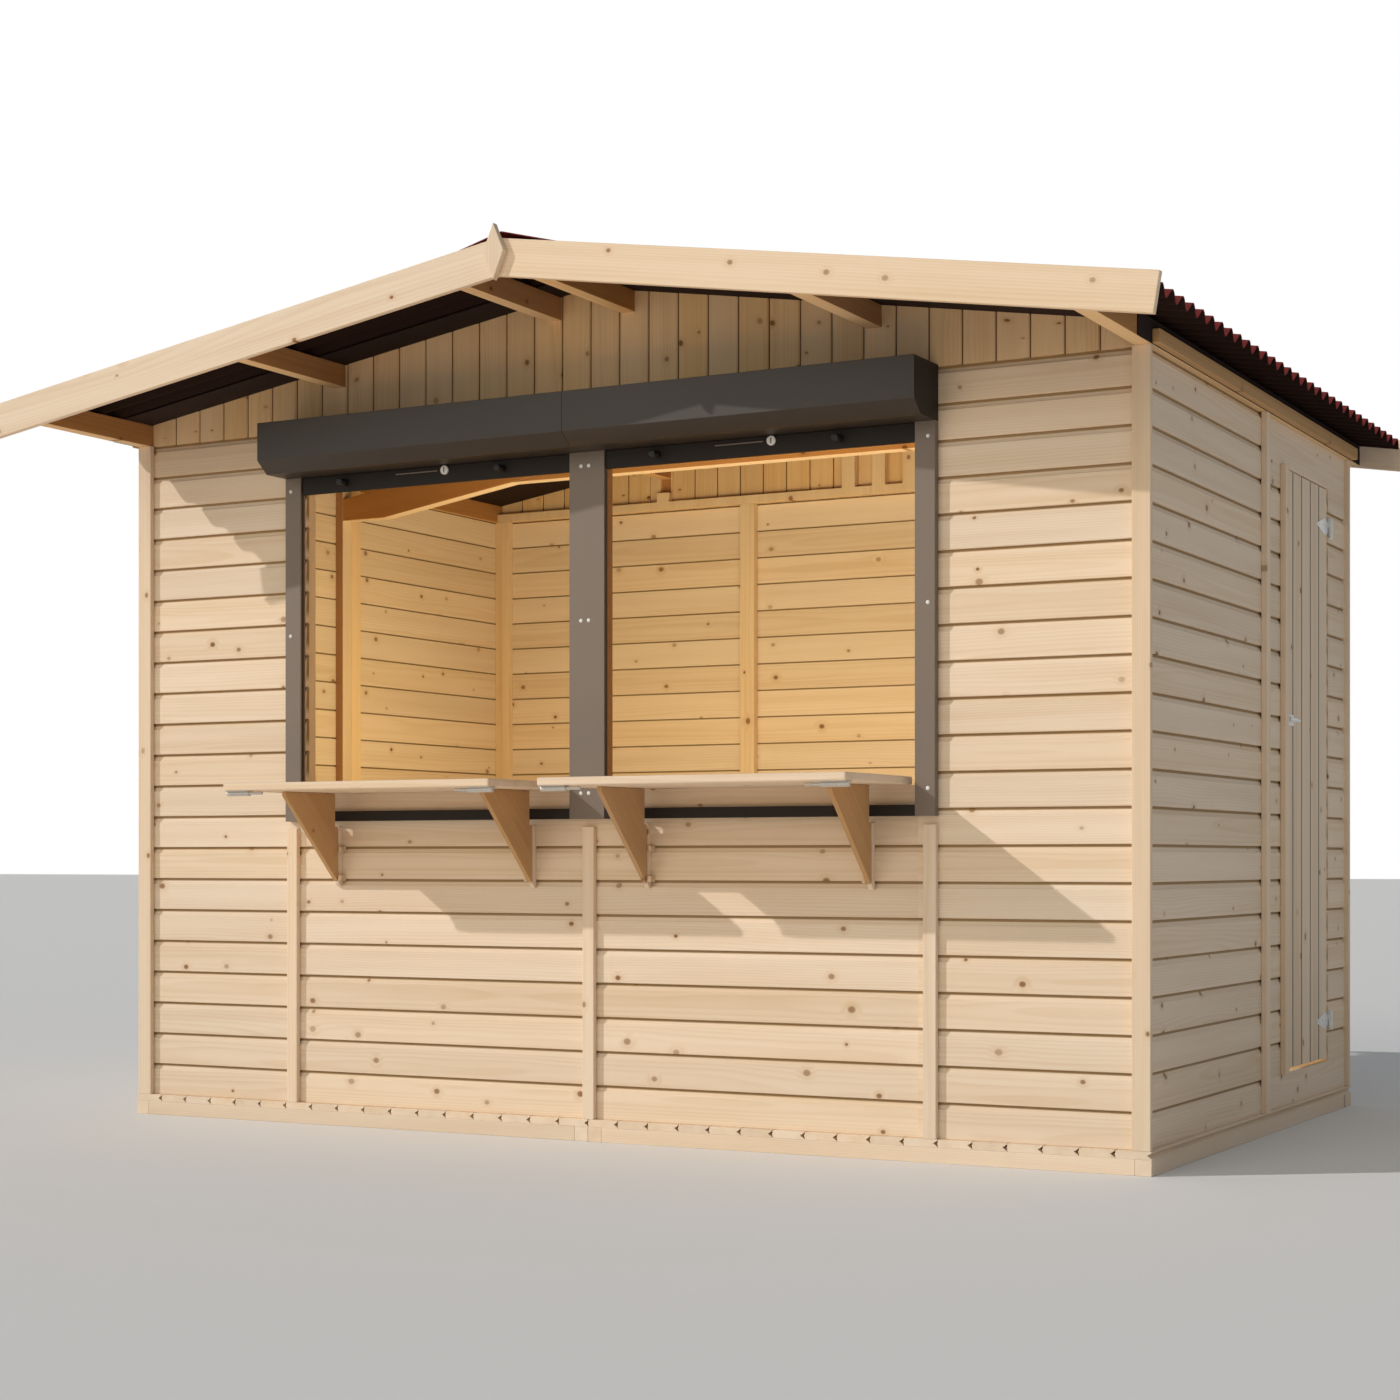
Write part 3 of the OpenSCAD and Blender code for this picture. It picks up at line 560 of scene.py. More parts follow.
def lay_grain(shape: Shape, seed: int, lengthwise: Optional[Vector] = None) -> None:
    """Store grain coordinates and a random board value on each solid of a mesh.

    Args:
        shape: The mesh.
        seed: Seed of the random values.
        lengthwise: Way of the grain; the longest edge of a solid if not given.
    """
    shape.verts.index_update()
    grain, board = vector_layer(shape, "grain"), vector_layer(shape, "board")
    chance = random.Random(seed)
    for points in solids_of(shape):
        edges = {edge for point in points for edge in point.link_edges}
        longest = max(edges, key=lambda edge: (round(edge.calc_length(), 5), -edge.verts[0].index))
        along = lengthwise or (longest.verts[1].co - longest.verts[0].co).normalized()
        centre = sum((point.co for point in points), Vector()) / len(points)
        across = thinnest_way(points, along).cross(along).normalized()
        through = along.cross(across).normalized()
        value = Vector((chance.random(), chance.random(), chance.random()))
        for point in points:
            offset = point.co - centre
            point[grain] = Vector((offset.dot(along), offset.dot(across), offset.dot(through)))
            point[board] = value


def thinnest_way(points: Iterable[bmesh.types.BMVert], along: Vector) -> Vector:
    """Find the axis square to a piece's length in which it is thinnest.

    Args:
        points: The piece's points.
        along: The way of its length.

    Returns:
        The axis.
    """
    def extent(axis: Vector) -> float:
        """Give the piece's size along an axis."""
        values = [point.co.dot(axis) for point in points]
        return round(max(values) - min(values), 5)

    return min((axis for axis in (RIGHTWARD, BACKWARD, UPWARD) if abs(axis.dot(along)) < 0.5), key=extent)


def add_block(shape: Shape, centre: Vector, size: Vector) -> None:
    """Add a plain block to a mesh, by its centre and its size along each axis."""
    for point in bmesh.ops.create_cube(shape, size=1.0)["verts"]:
        point.co = centre + point.co * size


def as_object(name: str, shape: Shape, finish: Finish, smooth: bool = False) -> Piece:
    """Turn a mesh that was built into an object in the scene.

    Args:
        name: The object's name.
        shape: The mesh, which is freed.
        finish: The finish that it takes.
        smooth: Whether curved faces are shaded smooth.

    Returns:
        The object, at the origin.
    """
    bmesh.ops.recalc_face_normals(shape, faces=shape.faces)
    mesh = bpy.data.meshes.new(name)
    shape.to_mesh(mesh)
    shape.free()
    mesh.materials.append(finish.material())
    if smooth:
        mesh.shade_smooth()
        mesh.set_sharp_from_angle(angle=SMOOTH_ANGLE)
    made = bpy.data.objects.new(name, mesh)
    bpy.context.scene.collection.objects.link(made)
    return made


def settle(made: Piece, nodes: Sequence[str], body: str = "stall") -> Piece:
    """Tie a finished piece to the frame.

    Args:
        made: The piece.
        nodes: The CAD nodes that it stands for.
        body: The body that it rides on.

    Returns:
        The piece.
    """
    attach(made, body)
    if nodes:
        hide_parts(*nodes)
    LOG.info("%s: %d faces on %s", made.name, len(made.data.polygons), body)
    return made


@dataclass(frozen=True)
class FaceTone:
    """A second finish for those faces of a piece that look one way: painted light or shade by the way the faces look.
    """

    finish: Finish
    way: Triple
    low: Triple = (-9.0, -9.0, -9.0)
    high: Triple = (9.0, 9.0, 9.0)
    least: float = 0.7

    def lay(self, mesh: bpy.types.Mesh) -> None:
        """Give the faces that look the way, inside the tone's corners, the second finish.

        Args:
            mesh: The piece's mesh.
        """
        mesh.materials.append(self.finish.material())
        for face in mesh.polygons:
            inside = all(self.low[axis] < face.center[axis] < self.high[axis] for axis in range(3))
            if inside and face.normal.dot(Vector(self.way)) > self.least:
                face.material_index = len(mesh.materials) - 1


def timber(node: str, finish: Finish, seed: int, body: str = "stall", edge: float = 0.0016,
           lengthwise: Optional[Vector] = None, tone: Optional[FaceTone] = None) -> Piece:
    """Dress a CAD node as timber with eased edges and grain along each piece.

    Args:
        node: The node's name.
        finish: The wood's finish.
        seed: Seed for the boards' tones.
        body: The body that it rides on.
        edge: Width of the eased edges.
        lengthwise: Way of the grain; the longest edge if not given.
        tone: A second finish for some of its faces, as painted light or shade.

    Returns:
        The piece.
    """
    shape = node_shape(node)
    soften(shape, edge)
    lay_grain(shape, seed, lengthwise)
    made = as_object(node + "_timber", shape, finish)
    if tone:
        tone.lay(made.data)
    return settle(made, [node], body)


def fitting(node: str, finish: Finish, body: str = "stall", edge: float = 0.0012,
            smooth: bool = False, tone: Optional[FaceTone] = None) -> Piece:
    """Dress a CAD node as a metal or plastic fitting with eased edges.

    Args:
        node: The node's name.
        finish: Its finish.
        body: The body that it rides on.
        edge: Width of the eased edges.
        smooth: Whether round parts are shaded smooth.
        tone: A second finish for some of its faces, as painted light or shade.

    Returns:
        The piece.
    """
    shape = node_shape(node)
    soften(shape, edge)
    made = as_object(node + "_fitting", shape, finish, smooth=smooth)
    if tone:
        tone.lay(made.data)
    return settle(made, [node], body)


@dataclass
class Plank:
    """One board: an outline across it, drawn out along it."""

    start: Vector
    along: Vector
    across: Vector
    inward: Vector
    length: float
    outline: Sequence[Point2]
    grain_shift: float = 0.0
    shade_from: float = 0.0055
    shade_span: float = 0.001

    def add_to(self, shape: Shape) -> None:
        """Add the board with its grain coordinates, and the share of painted groove shade at each point, to a mesh.

        Args:
            shape: The mesh.
        """
        grain = vector_layer(shape, "grain")
        joint = shape.verts.layers.float.get("joint") or shape.verts.layers.float.new("joint")
        thick = max(deep for _, deep in self.outline)
        rings = []
        for reach in (0.0, self.length):
            ring = []
            for over, deep in self.outline:
                point = shape.verts.new(self.start + self.along * reach + self.across * over + self.inward * deep)
                point[grain] = Vector((reach + self.grain_shift, over, deep))
                # Painted shade: a point sunk past shade_from from either face takes the groove's shade colour, in full
                # after shade_span more.
                sunk = (min(deep, thick - deep) - self.shade_from) / self.shade_span
                point[joint] = min(1.0, max(0.0, sunk))
                ring.append(point)
            rings.append(ring)
        count = len(self.outline)
        for index in range(count):
            following = (index + 1) % count
            shape.faces.new((rings[0][index], rings[0][following], rings[1][following], rings[1][index]))
        for ring in rings:
            shape.faces.new(ring)


def board_row_tree() -> Tree:
    """Build the tree that repeats a board in a row and cuts the row to its opening or to the roof.

    Returns:
        The tree.
    """
    graph, taken, given = new_group(
        "board row",
        "GeometryNodeTree",
        {
            "Board": "Geometry", "Count": "Int", "Start": "Vector", "Step": "Vector", "Seed": "Int",
            "Foot": "Float", "Ridge": "Float", "Slope": "Float", "Finish": "Material",
        },
        {"Boards": "Geometry"},
    )
    places = {"Count": taken["Count"], "Start Location": taken["Start"], "Offset": taken["Step"]}
    line = graph.first("GeometryNodeMeshLine", places, mode="OFFSET")
    placed = graph.first("GeometryNodeInstanceOnPoints", {"Points": line, "Instance": taken["Board"]})
    chance = graph.first("FunctionNodeRandomValue", {"Seed": taken["Seed"]}, data_type="FLOAT_VECTOR")
    named = graph.first(
        "GeometryNodeStoreNamedAttribute", {"Geometry": placed, "Name": "board", "Value": chance},
        data_type="FLOAT_VECTOR", domain="INSTANCE",
    )
    real = graph.first("GeometryNodeRealizeInstances", {"Geometry": named})
    spot = graph.split(graph.first("GeometryNodeInputPosition"))
    fall = graph.math("MULTIPLY", graph.math("ABSOLUTE", spot[0]), taken["Slope"])
    roof = graph.math("SUBTRACT", taken["Ridge"], fall)
    level = graph.math("MAXIMUM", graph.math("MINIMUM", spot[2], roof), taken["Foot"])
    moved = {"Geometry": real, "Position": graph.join(spot[0], spot[1], level)}
    cut = graph.first("GeometryNodeSetPosition", moved)
    graph.feed(given["Boards"], graph.first("GeometryNodeSetMaterial", {"Geometry": cut, "Material": taken["Finish"]}))
    return graph.tree


def screw_tree() -> Tree:
    """Build the tree that sets a domed screw head on each point, square to the point's own aim.

    Returns:
        The tree.
    """
    graph, taken, given = new_group(
        "screw heads",
        "GeometryNodeTree",
        {"Points": "Geometry", "Radius": "Float", "Rise": "Float", "Finish": "Material"},
        {"Screws": "Geometry"},
    )
    ball = graph.first("GeometryNodeMeshUVSphere", {"Segments": 20, "Rings": 10, "Radius": taken["Radius"]})
    head = graph.first("GeometryNodeTransform", {"Geometry": ball, "Scale": graph.join(1.0, 1.0, taken["Rise"])})
    aim = graph.first("GeometryNodeInputNamedAttribute", {"Name": "aim"}, data_type="FLOAT_VECTOR")
    turn = graph.first("FunctionNodeAlignRotationToVector", {"Vector": aim}, axis="Z")
    heads = {"Points": taken["Points"], "Instance": head, "Rotation": turn}
    placed = graph.first("GeometryNodeInstanceOnPoints", heads)
    real = graph.first("GeometryNodeRealizeInstances", {"Geometry": placed})
    graph.feed(given["Screws"], graph.first("GeometryNodeSetMaterial", {"Geometry": real, "Material": taken["Finish"]}))
    return graph.tree


def corrugation_tree() -> Tree:
    """Build the tree that makes one corrugated sheet down a slope, with its own finish on each face.

    Returns:
        The tree.
    """
    graph, taken, given = new_group(
        "corrugated sheet",
        "GeometryNodeTree",
        {
            "Base": "Geometry", "Run": "Float", "Length": "Float", "Waves": "Int", "Rise": "Float",
            "Thickness": "Float", "Ridge gap": "Float", "Slope": "Float", "Turn": "Float", "Peak": "Vector",
            "Top": "Material", "Under": "Material",
        },
        {"Sheet": "Geometry"},
    )
    points_down_slope, points_a_wave, upward_least, seam = 13, 16.0, -0.2, 0.00001
    sizes = {"Size X": taken["Run"], "Size Y": taken["Length"]}
    counts = {"Vertices X": points_down_slope, "Vertices Y": graph.line(taken["Waves"], points_a_wave, 1.0)}
    grid = graph.first("GeometryNodeMeshGrid", {**sizes, **counts})
    spot = graph.split(graph.first("GeometryNodeInputPosition"))
    share = graph.math("ADD", graph.math("DIVIDE", spot[1], taken["Length"]), 0.5)
    angle = graph.math("MULTIPLY", graph.math("MULTIPLY", share, taken["Waves"]), math.tau)
    half = graph.math("MULTIPLY", graph.math("SUBTRACT", taken["Rise"], taken["Thickness"]), 0.5)
    lift = graph.math("MULTIPLY", half, graph.math("SUBTRACT", 1.0, graph.math("COSINE", angle)))
    waved = graph.first("GeometryNodeSetPosition", {"Geometry": grid, "Offset": graph.join(0.0, 0.0, lift)})
    under = graph.first("GeometryNodeFlipFaces", {0: waved})
    raised = {"Mesh": waved, "Offset": (0.0, 0.0, 1.0), "Offset Scale": taken["Thickness"], "Individual": False}
    over = graph.first("GeometryNodeExtrudeMesh", raised, mode="FACES")
    both = graph.add("GeometryNodeJoinGeometry")
    for skin in (under, over):
        graph.feed(both.inputs[0], skin)
    whole = graph.first("GeometryNodeMergeByDistance", {"Geometry": both.outputs[0], "Distance": seam})
    reach = graph.line(taken["Run"], 0.5, taken["Ridge gap"])
    slid = graph.first("GeometryNodeTransform", {"Geometry": whole, "Translation": graph.join(reach, 0.0, 0.0)})
    tilt, turn = graph.join(0.0, taken["Slope"], 0.0), graph.join(0.0, 0.0, taken["Turn"])
    tilted = graph.first("GeometryNodeTransform", {"Geometry": slid, "Rotation": tilt})
    placing = {"Geometry": tilted, "Rotation": turn, "Translation": taken["Peak"]}
    soft = graph.first("GeometryNodeSetShadeSmooth", {"Geometry": graph.first("GeometryNodeTransform", placing)})
    real = graph.first("GeometryNodeRealizeInstances", {"Geometry": soft})
    lined = graph.first("GeometryNodeSetMaterial", {"Geometry": real, "Material": taken["Under"]})
    rising = graph.split(graph.first("GeometryNodeInputNormal"))[2]
    topside = graph.first("FunctionNodeCompare", {0: rising, 1: upward_least}, operation="GREATER_THAN")
    topping = {"Geometry": lined, "Selection": topside, "Material": taken["Top"]}
    graph.feed(given["Sheet"], graph.first("GeometryNodeSetMaterial", topping))
    return graph.tree


def grown(base: Piece, tree: Tree, values: Dict[str, object]) -> Piece:
    """Run a geometry tree on an object and keep the result as its plain mesh.

    Args:
        base: The object that the tree starts from.
        tree: The tree.
        values: Values of its inputs by name.

    Returns:
        The object with the made mesh and no modifier.
    """
    modifier = base.modifiers.new(tree.name, "NODES")
    modifier.node_group = tree
    for item in tree.interface.items_tree:
        if item.item_type == "SOCKET" and item.in_out == "INPUT" and item.name in values:
            modifier[item.identifier] = values[item.name]
    bpy.context.view_layer.update()
    seen = base.evaluated_get(bpy.context.evaluated_depsgraph_get())
    mesh = bpy.data.meshes.new_from_object(seen)
    base.modifiers.remove(modifier)
    base.data = mesh
    return base


@dataclass
class BoardRow:
    """A row of equal boards, cut to its foot and to a level or the roof."""

    name: str
    finish: Finish
    seed: int
    count: int
    step: Triple
    foot: float
    ridge: float
    slope: float = 0.0
    start: Triple = (0.0, 0.0, 0.0)

    def build(self, shape: Shape) -> Piece:
        """Repeat a board along the row.

        Args:
            shape: The mesh with the first board, which is freed.

        Returns:
            The row.
        """
        return grown(
            as_object(self.name, shape, self.finish),
            bpy.data.node_groups.get("board row") or board_row_tree(),
            {
                "Count": self.count, "Start": self.start, "Step": self.step, "Seed": self.seed, "Foot": self.foot,
                "Ridge": self.ridge, "Slope": self.slope, "Finish": self.finish.material(),
            },
        )


@dataclass
class CladdingBoards:
    """Profile of the horizontal cladding: a flat face, a cove under the next board's lip and a tongue."""

    thickness: float = 0.018
    rows: int = 21
    cove_height: float = 0.018
    cove_depth: float = 0.0068
    cove_steps: int = 5
    ease: float = 0.0013
    slot: float = 0.005
    tongue: float = 0.006
    tongue_shares: Tuple[float, float] = (0.45, 0.64)
    grain_apart: float = 5.3
    foot: float = field(init=False)
    pitch: float = field(init=False)

    def __post_init__(self) -> None:
        """Read the level of the first board and the boards' pitch from the frame."""
        low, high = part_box("left_wall")
        self.foot = low[2]
        self.pitch = (high[2] - low[2]) / self.rows

    def outline(self) -> List[Point2]:
        """Draw a board's outline as height over its foot and depth from its face.

        Returns:
            The outline's points.
        """
        top, back = self.pitch, self.thickness
        near, far = (back * share for share in self.tongue_shares)
        points = [(0.0, self.ease), (self.ease, 0.0), (top - self.cove_height, 0.0)]
        for step in range(1, self.cove_steps + 1):
            left = 1.0 - step / self.cove_steps
            points.append((top - self.cove_height * left, self.cove_depth * (1.0 - left ** 2)))
        points += [
            (top, near), (top + self.tongue, near), (top + self.tongue, far),
            (top - self.slot, far), (top - self.slot, back), (0.0, back),
        ]
        return points

    def dress(self, node: str, facing: Facing, seed: int) -> Piece:
        """Clad the panels of a CAD node.

        Args:
            node: The node's name.
            facing: The side that its boards face.
            seed: Seed for the boards' tones.

        Returns:
            The clad piece.
        """
        boxes = solid_boxes(node)
        low = min(pair[0].z for pair in boxes)
        high = max(pair[1].z for pair in boxes)
        first = math.floor((low - self.foot) / self.pitch + 1e-4)
        last = math.ceil((high - self.foot) / self.pitch - 1e-4)
        shape = bmesh.new()
        for index, (corner, far) in enumerate(boxes):
            start = facing.outer_corner(corner, far)
            start.z = self.foot
            length = abs((far - corner).dot(facing.along))
            Plank(
                start, facing.along, UPWARD, facing.inward, length, self.outline(), self.grain_apart * index
            ).add_to(shape)
        row = BoardRow(
            node + "_boards", Finish.CLADDING, seed, last - first, (0.0, 0.0, self.pitch), low, high,
            start=(0.0, 0.0, first * self.pitch),
        )
        return settle(row.build(shape), [node])


@dataclass
class Walls:
    """The clad walls with their trims, battens and studs."""

    boards: CladdingBoards = field(default_factory=CladdingBoards)
    # Corners of the band of side-post faces that take painted shade.
    middle_low: Triple = (-1.6, -0.06, 0.0)
    middle_high: Triple = (1.6, -0.04, 2.0)

    def build(self) -> None:
        """Clad every wall panel and dress the timbers round them."""
        panels = (
            ("front_side_panels", Facing.FRONT), ("front_breast_wall", Facing.FRONT), ("front_header", Facing.FRONT),
            ("left_wall", Facing.LEFT), ("back_wall", Facing.BACK), ("right_wall_front", Facing.RIGHT),
            ("door_side_panels", Facing.RIGHT),
        )
        for seed, (node, facing) in enumerate(panels, start=11):
            self.boards.dress(node, facing, seed)
        for seed, node in enumerate(("door_sill_and_header", "outer_battens", "door_trim"), start=21):
            timber(node, Finish.CLADDING, seed)
        # Painted shade: the front post's right-hand faces and the side posts' front faces take the darker truss finish.
        shaded_side = FaceTone(Finish.TRUSS, (1.0, 0.0, 0.0))
        timber("front_post", Finish.INSIDE, 24, tone=shaded_side)
        for seed, node in enumerate(("front_studs", "front_beams", "back_studs"), start=25):
            timber(node, Finish.INSIDE, seed)
        shaded_front = FaceTone(Finish.TRUSS, (0.0, -1.0, 0.0), self.middle_low, self.middle_high)
        timber("side_posts", Finish.INSIDE, 28, tone=shaded_front)
        timber("gable_frames", Finish.INSIDE, 29, lengthwise=UPWARD)


@dataclass
class Gables:
    """Front and back gables of upright boards, cut to the roof and round the purlins."""

    boards: int = 34
    bead: float = 0.0028
    slot: float = 0.0034
    tongue: float = 0.004
    half_tongue: float = 0.002
    stop: float = 0.006

    def outline(self, width: float, thick: float) -> List[Point2]:
        """Draw an upright board's outline with eased edges and a tongue.

        Args:
            width: The board's width.
            thick: The board's thickness.

        Returns:
            The outline's points, across the board and into the wall.
        """
        bead, edge, tip = self.bead, width - self.slot, width + self.tongue
        near, far = thick * 0.5 - self.half_tongue, thick * 0.5 + self.half_tongue
        return [
            (0.0, bead), (bead, 0.0), (edge - bead, 0.0), (edge, bead), (edge, near), (tip, near), (tip, far),
            (edge, far), (edge, thick - bead), (edge - bead, thick), (bead, thick), (0.0, thick - bead),
        ]

    def build(self) -> None:
        """Board both gables as one piece and close the notches behind the back one with dark stops, as painted shade of
        the open notches.
        """
        front, back = sorted(solid_boxes("gables"), key=lambda pair: pair[0].y)
        shape, stops = bmesh.new(), bmesh.new()
        self.row(shape, front, Facing.FRONT, 0, self.boards, 31)
        width = (back[1].x - back[0].x) / self.boards
        first = 0
        for index, notch in enumerate(self.notches(back)):
            holder = math.floor((notch[0] - back[0].x) / width)
            self.row(shape, back, Facing.BACK, first, holder - first, 32 + index)
            sides = [holder * width, notch[0] - back[0].x, notch[1] - back[0].x, (holder + 1) * width]
            for place in range(3):
                top = notch[2] if place == 1 else None
                self.strip(shape, back, sides[place], sides[place + 1], top, 40 + index)
            low = Vector((notch[0], back[1].y - self.stop, notch[2]))
            high = Vector((notch[1], back[1].y, self.cover(notch)))
            add_block(stops, (low + high) / 2.0, high - low)
            first = holder + 1
        self.row(shape, back, Facing.BACK, first, self.boards - first, 36)
        settle(as_object("gables_boards", shape, Finish.GABLE), ["gables"])
        lay_grain(stops, 37)
        # Painted shade: the stops take the dark truss finish where the open notch would show a shaded hole.
        settle(as_object("gable_stops", stops, Finish.TRUSS), [])

    def notches(self, wall: Box) -> List[Triple]:
        """Find the open notches under the middle purlins of a gable.

        Args:
            wall: Lowest and highest corners of the gable.

        Returns:
            Left side, right side and foot of each notch.
        """
        shape = node_shape("gables")
        points = [point.co.copy() for point in shape.verts if point.co.y > 0.0]
        shape.free()
        level = min(point.z for point in points if point.z > wall[0].z + 0.02)
        sides = sorted({round(point.x, 5) for point in points if abs(point.z - level) < 1e-4})
        return [(sides[index], sides[index + 1], level) for index in range(0, len(sides) - 1, 2)]

    def cover(self, notch: Triple) -> float:
        """Give the level of the purlin's underside over a notch."""
        return min(low.z for low, high in solid_boxes("purlins") if low.x < notch[1] and high.x > notch[0])

    def row(self, shape: Shape, wall: Box, facing: Facing, first: int, count: int, seed: int) -> None:
        """Add a run of whole boards to a gable.

        Args:
            shape: The mesh that takes them.
            wall: Lowest and highest corners of the gable.
            facing: The side that it faces.
            first: Place of the first board.
            count: How many boards follow.
            seed: Seed for the boards' tones.
        """
        low, high = wall
        width = (high.x - low.x) / self.boards
        row = BoardRow(
            "gable_row", Finish.GABLE, seed, count, (width, 0.0, 0.0), low.z, high.z, self.slope(),
            (first * width, 0.0, 0.0),
        )
        self.raise_boards(shape, wall, facing, self.outline(width, high.y - low.y), row)

    def strip(self, shape: Shape, wall: Box, start: float, end: float, top: Optional[float],
              seed: int) -> None:
        """Add one part of a notched board to the back gable.

        Args:
            shape: The mesh that takes it.
            wall: Lowest and highest corners of the gable.
            start: Distance of its left side from the gable's left end.
            end: Distance of its right side from the gable's left end.
            top: Level that it stops at; the roof if not given.
            seed: Seed for the board's tone.
        """
        low, high = wall
        deep, across = high.y - low.y, end - start
        ridge, slope = (high.z, self.slope()) if top is None else (top, 0.0)
        row = BoardRow(
            "gable_strip", Finish.GABLE, seed, 1, (0.0, 0.0, 0.0), low.z, ridge, slope, (start, 0.0, 0.0)
        )
        outline = [(0.0, 0.0), (across, 0.0), (across, deep), (0.0, deep)]
        self.raise_boards(shape, wall, Facing.BACK, outline, row)

    def raise_boards(self, shape: Shape, wall: Box, facing: Facing, outline: Sequence[Point2],
                     row: BoardRow) -> None:
        """Repeat an upright board along a gable and add the row to a mesh.

        Args:
            shape: The mesh that takes the row.
            wall: Lowest and highest corners of the gable.
            facing: The side that it faces.
            outline: The board's outline.
            row: The row's places and cuts.
        """
        low, high = wall
        plank = bmesh.new()
        start = facing.outer_corner(low, high)
        Plank(start, UPWARD, RIGHTWARD, facing.inward, high.z - low.z, outline).add_to(plank)
        made = row.build(plank)
        shape.from_mesh(made.data)
        bpy.data.objects.remove(made)

    def slope(self) -> float:
        """Give the roof's fall for each metre away from the ridge.

        Returns:
            The fall.
        """
        _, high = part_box("gables")
        shape = node_shape("gables")
        eave = max(point.co.z for point in shape.verts if abs(point.co.x - high[0]) < 1e-4)
        shape.free()
        return (high[2] - eave) / high[0]


@dataclass
class Floor:
    """The floor: joists, rims and boards whose tongues and grooves show at the front."""

    boards: int = 34
    notch: float = 0.011
    play: float = 0.0018
    groove_share: float = 0.7
    tongue_share: float = 0.45
    tongue_reach: float = 0.75

    def outline(self, width: float, thick: float) -> List[Point2]:
        """Draw a floor board's end with its groove and tongue.

        Args:
            width: The board's width.
            thick: The board's thickness.

        Returns:
            The outline's points, across the board and up.
        """
        middle, notch, play = thick * 0.5, self.notch, self.play
        groove, tongue = notch * self.groove_share, notch * self.tongue_share
        return [
            (play, 0.0), (width, 0.0), (width, middle - groove), (width - notch, middle), (width, middle + groove),
            (width, thick - play), (width - play, thick), (2.0 * play, thick), (play, thick - play),
            (play, middle + tongue), (play - notch * self.tongue_reach, middle), (play, middle - tongue),
        ]

    def build(self) -> None:
        """Lay the boards and dress the joists and rims."""
        low, high = (Vector(corner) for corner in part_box("floor_boards"))
        width, thick = (high.x - low.x) / self.boards, high.z - low.z
        shape = bmesh.new()
        Plank(
            low.copy(), BACKWARD, RIGHTWARD, UPWARD, high.y - low.y, self.outline(width, thick), shade_from=thick
        ).add_to(shape)
        for point in shape.verts:
            point.co.x = max(point.co.x, low.x)
        row = BoardRow(
            "floor_boards_boards", Finish.CLADDING, 41, self.boards, (width, 0.0, 0.0), low.z, high.z
        )
        settle(row.build(shape), ["floor_boards"])
        timber("floor_joists", Finish.CLADDING, 42)
        timber("floor_rims", Finish.CLADDING, 43)


@dataclass
class Roof:
    """The roof: purlins, truss, felt, corrugated sheets, ridge cap and the boards round its edge."""

    wave_pitch: float = 0.075
    sheet_thickness: float = 0.003
    wave_rise: float = 0.027
    ridge_gap: float = 0.005

    def build(self) -> None:
        """Dress the timbers, the felt and the sheets."""
        downward = (0.0, 0.0, -1.0)
        # The purlins take the darker truss finish, partly as painted shade under the roof, and their undersides the
        # paler gable finish as painted light from below.
        timber("purlins", Finish.TRUSS, 51, tone=FaceTone(Finish.GABLE, downward))
        # Painted light: the truss's downward faces take the paler planed spruce.
        lit_underside = FaceTone(Finish.CLADDING, downward)
        for seed, node in enumerate(("truss_rafter_left", "truss_rafter_right", "truss_collar"), start=52):
            timber(node, Finish.TRUSS, seed, tone=lit_underside)
        timber("barge_boards_left", Finish.CLADDING, 55)
        timber("barge_boards_right", Finish.CLADDING, 56)
        timber("ridge_finials", Finish.CLADDING, 57, lengthwise=UPWARD)
        # Painted shade under the roof: the eave boards take the darker, browner spruce.
        timber("eave_boards", Finish.SHADED_SPRUCE, 58)
        fitting("roof_felt", Finish.FELT, edge=0.0004)
        fitting("ridge_cap", Finish.SHEET_TOP, edge=0.0006)
        self.sheets()

    def sheets(self) -> None:
        """Make both corrugated sheets as one piece."""
        low, high = max(solid_boxes("roof_sheets"), key=lambda pair: pair[0].x)
        slope = math.atan(Gables().slope())
        felt_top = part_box("roof_felt")[1][2]
        length = high.y - low.y
        top, under = Finish.SHEET_TOP.material(), Finish.SHEET_UNDER.material()
        shape = bmesh.new()
        for turn in (0.0, math.pi):
            made = grown(
                as_object("sheet", bmesh.new(), Finish.SHEET_TOP),
                bpy.data.node_groups.get("corrugated sheet") or corrugation_tree(),
                {
                    "Run": high.x / math.cos(slope) - self.ridge_gap, "Length": length,
                    "Waves": round(length / self.wave_pitch), "Rise": self.wave_rise,
                    "Thickness": self.sheet_thickness, "Ridge gap": self.ridge_gap, "Slope": slope, "Turn": turn,
                    "Peak": (0.0, (low.y + high.y) / 2.0, felt_top), "Top": top, "Under": under,
                },
            )
            names = [entry.name if entry else "" for entry in made.data.materials]
            for face in made.data.polygons:
                face.material_index = 0 if names[face.material_index] == top.name else 1
            shape.from_mesh(made.data)
            bpy.data.objects.remove(made)
        joined = as_object("roof_sheets_corrugated", shape, Finish.SHEET_TOP, smooth=True)
        joined.data.materials.append(under)
        settle(joined, ["roof_sheets"])


